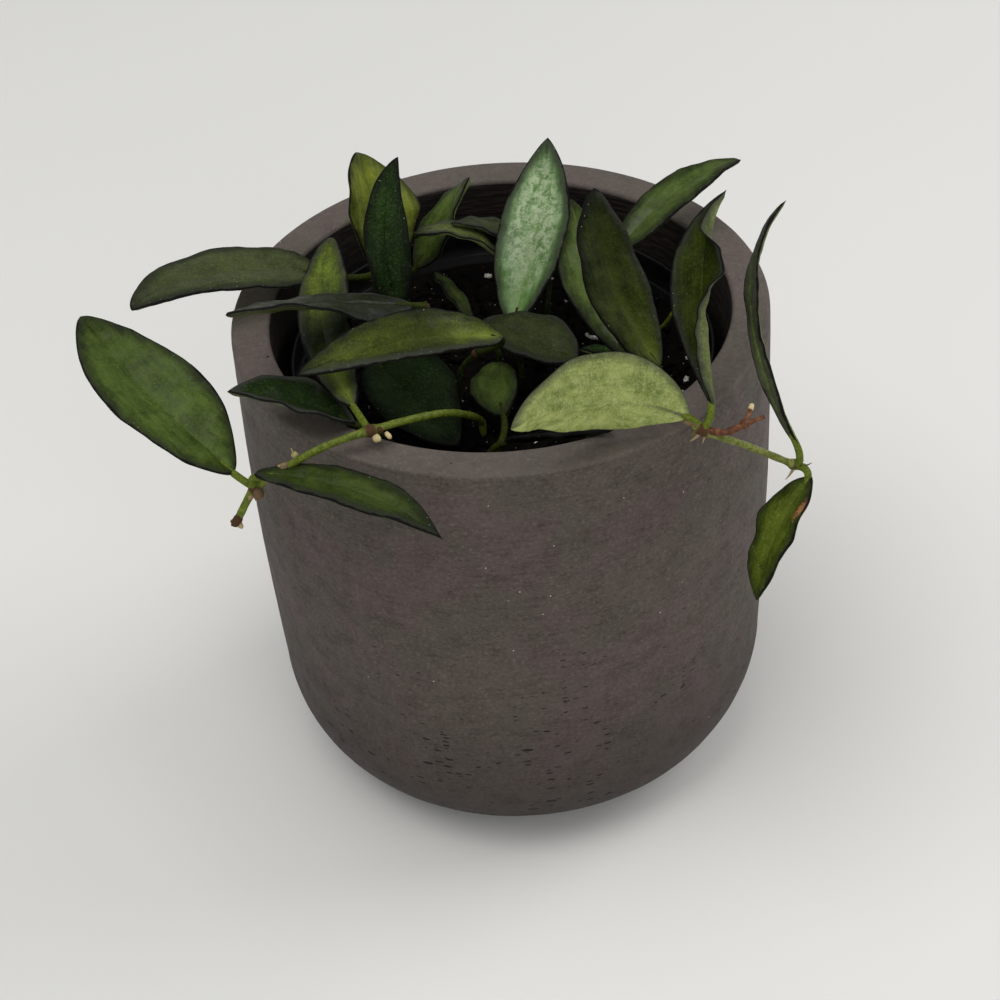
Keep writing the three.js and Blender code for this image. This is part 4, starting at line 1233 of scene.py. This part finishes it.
def blade_measures(leaf, tint, part, side, face):
    """What the finish reads at a place on the blade."""
    half = side_width(leaf, part, side)
    across, ahead = side * half, part * leaf["length"]
    values = {
        "margin": min(half - abs(across), (1 - part) * leaf["length"] * 0.5),
        "across": across,
        "along": ahead,
        "below": 0.5 if abs(side) == 1 else (0.0 if face > 0 else 1.0),
        "stalk": 0.0,
        "scar": scar_at(tint, ahead, across),
    }
    # Of these, shade holds the leaf's own tone together with painted light and painted shade
    for key in ("shade", "haze", "sheen", "rib"):
        values[key] = value_at(tint.get(hand_of(side) + "_" + key, tint[key]), part)
    return values


def blade_mesh(name, leaf, thick, edge):
    """A leaf blade with rounded margins and a grooved midrib, and the values of its finish."""
    rows = max(24, round(leaf["length"] / ROW_STEP))
    ring = blade_ring()
    points, faces = [], []
    measures = {key: [] for key in LEAF_MEASURES}
    for row, stance in enumerate(blade_frames(leaf, rows)):
        part = row / rows
        for side, face in ring:
            points.append(blade_point(leaf, stance, part, side, face, thick, edge))
            for key, value in blade_measures(leaf, TINTS[name], part, side, face).items():
                measures[key].append(value)
    count = len(ring)
    for row in range(rows):
        a, b = row * count, (row + 1) * count
        faces += [(a + i, b + i, b + (i + 1) % count, a + (i + 1) % count) for i in range(count)]
    faces.append(tuple(range(count)))
    faces.append(tuple(range(len(points) - 1, len(points) - count - 1, -1)))
    return points, faces, measures


def stalk_line(leaf):
    """The leaf stalk's line, from the vine's knot to a little way inside the blade."""
    start = Vector(VINES[leaf["vine"]]["route"][leaf["knot"]])
    base = Vector(leaf["base"])
    along = blade_frames(leaf, 1)[0][1]
    control = base - along * ((base - start).length / 2)
    sunk, spacing = 5, 0.8
    end = base + along * sunk
    steps = max(8, round((base - start).length / spacing) + 5)
    parts = [i / steps for i in range(steps + 1)]
    return [start * (1 - t) ** 2 + control * (2 * t * (1 - t)) + end * t ** 2 for t in parts]


def stalk_mesh(leaf):
    """The leaf stalk: swollen where it leaves the vine, thinner where it enters the blade."""
    line = stalk_line(leaf)
    radii = [1.0 + 0.35 * math.exp(-k * 0.8) - 0.5 * max(0, k / len(line) - 0.6) for k in range(len(line))]
    points, faces = tube(line, radii, 12)
    shade = 1.0 if leaf["vine"] in OUTER_VINES else SHADED_STALK
    values = {**dict.fromkeys(LEAF_MEASURES, 0.0), **STALK_MEASURES, "shade": shade}
    return points, faces, even(points, **values)


class HOYA_OT_leaves(bpy.types.Operator):
    """Build every leaf with its stalk"""

    bl_idname = "hoya.leaves"
    bl_label = "Leaves"

    def execute(self, context):
        look = context.scene.hoya_plant
        finishes = {
            "green": leaf_finish("leaf_green", look.green_deep, look.green_light, look),
            "dark": leaf_finish("leaf_dark", look.dark_deep, look.dark_light, look),
            "dusky": leaf_finish("leaf_dusky", look.dusky_deep, look.dusky_light, look),
            "olive": leaf_finish("leaf_olive", look.olive_deep, look.olive_light, look),
            "silver": leaf_finish(
                "leaf_silver", look.silver_deep, look.silver_light, look, painted_glare=look.silver_painted_glare
            ),
            # Painted light: the leaf at the back left is lit from behind, and its finish is a lighter,
            # yellower green for that glow.
            "lime": leaf_finish("leaf_lime", look.backlit_lime_deep, look.backlit_lime_light, look),
            "pale": leaf_finish("leaf_pale", look.green_deep, look.green_light, look, under=look.pale),
        }
        for name, leaf in LEAVES.items():
            grown = [blade_mesh(name, leaf, look.thick, look.edge_thick), stalk_mesh(leaf)]
            points, faces, measures = joined_with(grown)
            blade = add_piece(name + "_blade", points, faces, finishes[leaf["colour"]], measures)
            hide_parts(name)
            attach(blade, "root")
        return {"FINISHED"}


# Floor, lights and camera

# In millimetres, and a hair below the pot's foot
FLOOR_REACH = 4000
FLOOR_DROP = 0.1

# The camera that was fitted to the photo: its lens in millimetres, its place in metres, and which way
# its right side and its top point
LENS = 86.4
CAMERA_PLACE = (0, -0.5498, 0.5393)
CAMERA_RIGHT = (0.99748, -0.04122, -0.05778)
CAMERA_UP = (0.07076, 0.6405, 0.76469)

SKY_COLOUR = (0.93, 0.96, 1.0, 1.0)


class HOYA_OT_stage(bpy.types.Operator):
    """Build the floor, the lights and the camera"""

    bl_idname = "hoya.stage"
    bl_label = "Stage"

    def execute(self, context):
        look = context.scene.hoya_stage
        finish = Finish("floor_paint", specular_ior_level=0.2)
        tone = finish.cloud(finish.point(), 300, 2, 0.5)
        colour = finish.blend(tone, look.floor, look.floor_shade)
        finish.feed(base_color=colour, roughness=finish.step(tone, 0.2, 0.8, 0.6, 0.7))
        corners = [(FLOOR_REACH * x, FLOOR_REACH * y, 0) for x, y in ((-1, -1), (1, -1), (1, 1), (-1, 1))]
        floor = add_piece("floor", corners, [(0, 1, 2, 3)], finish.material)
        floor.location.z = -FLOOR_DROP * MM
        self.lamp("key_light", place=(-0.4, -0.25, 1.5), aim=(0, 0, 0.1), size=1.1, power=look.key_power)
        self.lamp("side_light", place=(1.5, 0.5, 1.1), aim=(0.1, 0, 0.05), size=1.2, power=look.side_power)
        self.lamp("front_light", place=(0.3, -1.6, 1.0), aim=(0, 0, 0.08), size=1.3, power=look.front_power)
        world = bpy.data.worlds.new("studio")
        world.use_nodes = True
        sky = world.node_tree.nodes["Background"].inputs
        sky["Color"].default_value = SKY_COLOUR
        sky["Strength"].default_value = look.sky_power
        context.scene.world = world
        context.scene.view_settings.view_transform = "Standard"
        self.camera(context)
        return {"FINISHED"}

    @staticmethod
    def lamp(name, place, aim, size, power):
        """A square soft light, placed and aimed in metres."""
        light = bpy.data.lights.new(name, "AREA")
        light.shape = "SQUARE"
        light.size = size
        light.energy = power
        lamp = bpy.data.objects.new(name, light)
        lamp.location = place
        lamp.rotation_euler = (Vector(aim) - Vector(place)).to_track_quat("-Z", "Y").to_euler()
        bpy.context.scene.collection.objects.link(lamp)

    @staticmethod
    def camera(context):
        """The camera at the photo's viewing angle."""
        data = bpy.data.cameras.new("camera")
        data.sensor_width = 36
        data.lens = LENS
        data.clip_start = 0.01
        camera = bpy.data.objects.new("camera", data)
        right, up = Vector(CAMERA_RIGHT), Vector(CAMERA_UP)
        turn = Matrix((right, up, right.cross(up))).transposed().to_4x4()
        camera.matrix_world = Matrix.Translation(CAMERA_PLACE) @ turn
        context.scene.collection.objects.link(camera)
        context.scene.camera = camera


# Settings


def colour_setting(name, description, code):
    """A colour that a user can change, with its default written as RRGGBB."""
    return bpy.props.FloatVectorProperty(
        name=name, description=description, default=rgb(code), subtype="COLOR", size=3, min=0, max=1
    )


class PotSettings(bpy.types.PropertyGroup):
    pot_segments: bpy.props.IntProperty(
        name="Segments", description="Faces around the outer pot", default=300, min=24, max=400
    )
    clay: colour_setting("Clay", "Main colour of the clay", "504741")
    clay_warm: colour_setting("Warm Clay", "Colour of the clay's broad warm patches", "544745")
    clay_cool: colour_setting("Cool Clay", "Colour of the clay's greenish patches", "4b463d")
    # Painted shade: the colours of the pot's inner wall, for the shade inside it.
    inner_wall_shade: colour_setting("Lining", "Dark colour of the pot's inner wall", "120e0b")
    inner_wall_shade_ridge: colour_setting("Lining Ridges", "Colour of the ridges on the pot's inner wall", "2a2019")
    # The dark clay colour also paints the shade towards the pot's bottom.
    clay_dark_and_shade: colour_setting("Dark Clay", "Colour of the clay's darker mottling", "322b27")
    # The dust colour also paints the highlight on the rim.
    clay_dust_and_rim_light: colour_setting("Dust", "Colour of the dusty grain and the rim", "6e655d")
    # Painted shade inside the pinholes.
    pinhole_shade: colour_setting("Pinholes", "Colour inside the pinholes", "0b0807")
    speck: colour_setting("Specks", "Colour of the light specks", "cfc8c0")
    plastic: colour_setting("Plastic", "Colour of the nursery pot", "0b0b0b")
    plastic_dust: colour_setting("Plastic Dust", "Colour of dust on the nursery pot", "191715")


class SoilSettings(bpy.types.PropertyGroup):
    crumbs: bpy.props.IntProperty(
        name="Crumbs", description="How many crumbs lie on the soil", default=600, min=0
    )
    perlite_grains: bpy.props.IntProperty(
        name="Perlite Grains", description="How many white grains lie on the soil", default=60, min=0
    )
    peat: colour_setting("Peat", "Main colour of the peat", "080605")
    peat_light: colour_setting("Light Peat", "Colour of the peat's higher lumps", "15100d")
    peat_fibre: colour_setting("Fibre", "Colour of the fibres in the peat", "33261b")
    perlite: colour_setting("Perlite", "Colour of the perlite grains", "d9d5cc")
    perlite_shade: colour_setting("Perlite Shade", "Colour in the pores of the grains", "8f8a80")


class PlantSettings(bpy.types.PropertyGroup):
    thick: bpy.props.FloatProperty(
        name="Leaf Thickness", description="Thickness at the midrib, in mm", default=1.5
    )
    edge_thick: bpy.props.FloatProperty(
        name="Edge Thickness", description="Thickness near the margin, in mm", default=0.8
    )
    leaf_roughness: bpy.props.FloatProperty(
        name="Leaf Roughness", description="How dull the leaves are", default=0.42, min=0, max=1,
        subtype="FACTOR",
    )
    under_edge: bpy.props.FloatProperty(
        name="Margin Below", description="How dark the margin is on the undersides", default=0.35,
        min=0, max=1, subtype="FACTOR",
    )
    green_deep: colour_setting("Deep Green", "Dark tone of the green leaves", "232f0a")
    green_light: colour_setting("Light Green", "Light tone of the green leaves", "57692b")
    dark_deep: colour_setting("Deep Dark Green", "Dark tone of the darkest leaves", "0d1a06")
    dark_light: colour_setting("Light Dark Green", "Light tone of the darkest leaves", "243c10")
    dusky_deep: colour_setting("Deep Dusky Green", "Dark tone of the dusky leaves", "232813")
    dusky_light: colour_setting("Light Dusky Green", "Light tone of the dusky leaves", "454c29")
    olive_deep: colour_setting("Deep Olive", "Dark tone of the olive leaves", "1b2205")
    olive_light: colour_setting("Light Olive", "Light tone of the olive leaves", "4e5a18")
    silver_deep: colour_setting("Deep Silver Green", "Dark tone of the silvery leaves", "36581e")
    silver_light: colour_setting("Light Silver Green", "Light tone of the silvery leaves", "638748")
    # Painted reflection: the glare on the silvery leaf's wrinkles.
    silver_painted_glare: colour_setting("Silver Splash", "Colour of the silvery leaf's shining wrinkles", "aab595")
    # Painted light: the glow of the leaf at the back left, lit from behind.
    backlit_lime_deep: colour_setting("Deep Lime", "Dark tone of the lit leaf", "343c0a")
    backlit_lime_light: colour_setting("Light Lime", "Light tone of the lit leaf", "747d26")
    pale: colour_setting("Pale Underside", "Colour of the pale leaf's underside", "98a15c")
    under_light: colour_setting("Light Underside", "Fine light grain of the undersides", "bcc585")
    under: colour_setting("Underside", "Colour of the leaves' undersides", "77843f")
    under_dark: colour_setting("Dark Underside", "Mottling of the undersides", "68763a")
    scar: colour_setting("Scar", "Colour of the scar on the hanging leaf", "a4734a")
    # This colour also paints the glints along the leaves' margins.
    dot: colour_setting("Light Dots", "Colour of the tiny light dots on the leaves", "8d9c76")
    fleck: colour_setting("Fleck", "Colour of the fine flecks", "5f7338")
    midrib: colour_setting("Midrib", "Colour of the midrib and veins", "8c9c48")
    edge: colour_setting("Margin", "Colour of the leaf's margin", "110e10")
    edge_haze: colour_setting("Margin Haze", "Colour of the grey haze inside the margin", "3d3e38")
    stalk: colour_setting("Leaf Stalk", "Light tone of the leaf stalks", "626f26")
    stalk_dark: colour_setting("Dark Leaf Stalk", "Dark tone of the leaf stalks", "46521a")
    vine: colour_setting("Vine", "Main colour of the vines", "4b5617")
    vine_light: colour_setting("Light Vine", "Light streaks of the vines", "6e7a2c")
    right_vine: colour_setting("Right Vine", "Main colour of the vine over the right of the rim", "5a6126")
    right_vine_light: colour_setting("Light Right Vine", "Light streaks of that vine", "81874a")
    # Painted shade: darker colours for the vines inside the pot.
    inner_vine: colour_setting("Inner Vine", "Main colour of the vines inside the pot", "20260f")
    inner_vine_light: colour_setting("Light Inner Vine", "Light streaks of the vines inside the pot", "343c18")
    cork: colour_setting("Cork", "Colour of the corky knots", "4a3220")
    cream: colour_setting("Bud", "Colour of the small buds", "cdb98c")
    flower_red: colour_setting("Flower Stalk Red", "Red of the flower stalk", "4c2b1b")
    flower_orange: colour_setting("Flower Stalk Orange", "Orange of the flower stalk", "7d5236")


class StageSettings(bpy.types.PropertyGroup):
    floor: colour_setting("Floor", "Colour of the floor", "ebe9e4")
    floor_shade: colour_setting("Floor Shade", "Second tone of the floor", "e6e4df")
    key_power: bpy.props.FloatProperty(
        name="Key Light", description="Power of the light from above", default=11, unit="POWER"
    )
    side_power: bpy.props.FloatProperty(
        name="Side Light", description="Power of the light from the right", default=13, unit="POWER"
    )
    front_power: bpy.props.FloatProperty(
        name="Front Light", description="Power of the light from the front", default=8, unit="POWER"
    )
    sky_power: bpy.props.FloatProperty(
        name="Sky", description="Strength of the soft light all round", default=0.36
    )


class HOYA_PT_panel(bpy.types.Panel):
    """Lists the plant's pieces and settings"""

    bl_idname = "HOYA_PT_panel"
    bl_label = "Potted Hoya Plant"
    bl_space_type = "VIEW_3D"
    bl_region_type = "UI"
    bl_category = "Hoya"

    def draw(self, context):
        for operator in OPERATORS:
            self.layout.operator(operator.bl_idname)
        for group in SETTINGS:
            box = self.layout.box()
            settings = getattr(context.scene, group)
            for name in settings.__annotations__:
                box.prop(settings, name)


SETTINGS = {
    "hoya_pots": PotSettings, "hoya_soil": SoilSettings,
    "hoya_plant": PlantSettings, "hoya_stage": StageSettings,
}
OPERATORS = (
    HOYA_OT_stage, HOYA_OT_outer_pot, HOYA_OT_nursery_pot, HOYA_OT_soil, HOYA_OT_vines, HOYA_OT_flower_stalk,
    HOYA_OT_leaves,
)


def register():
    for kind in (*SETTINGS.values(), *OPERATORS, HOYA_PT_panel):
        bpy.utils.register_class(kind)
    for name, kind in SETTINGS.items():
        setattr(bpy.types.Scene, name, bpy.props.PointerProperty(type=kind))


def unregister():
    for name in SETTINGS:
        delattr(bpy.types.Scene, name)
    for kind in reversed((*SETTINGS.values(), *OPERATORS, HOYA_PT_panel)):
        bpy.utils.unregister_class(kind)


def main():
    register()
    for operator in OPERATORS:
        group, call = operator.bl_idname.split(".")
        getattr(getattr(bpy.ops, group), call)()
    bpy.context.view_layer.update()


if __name__ == "__main__":
    main()
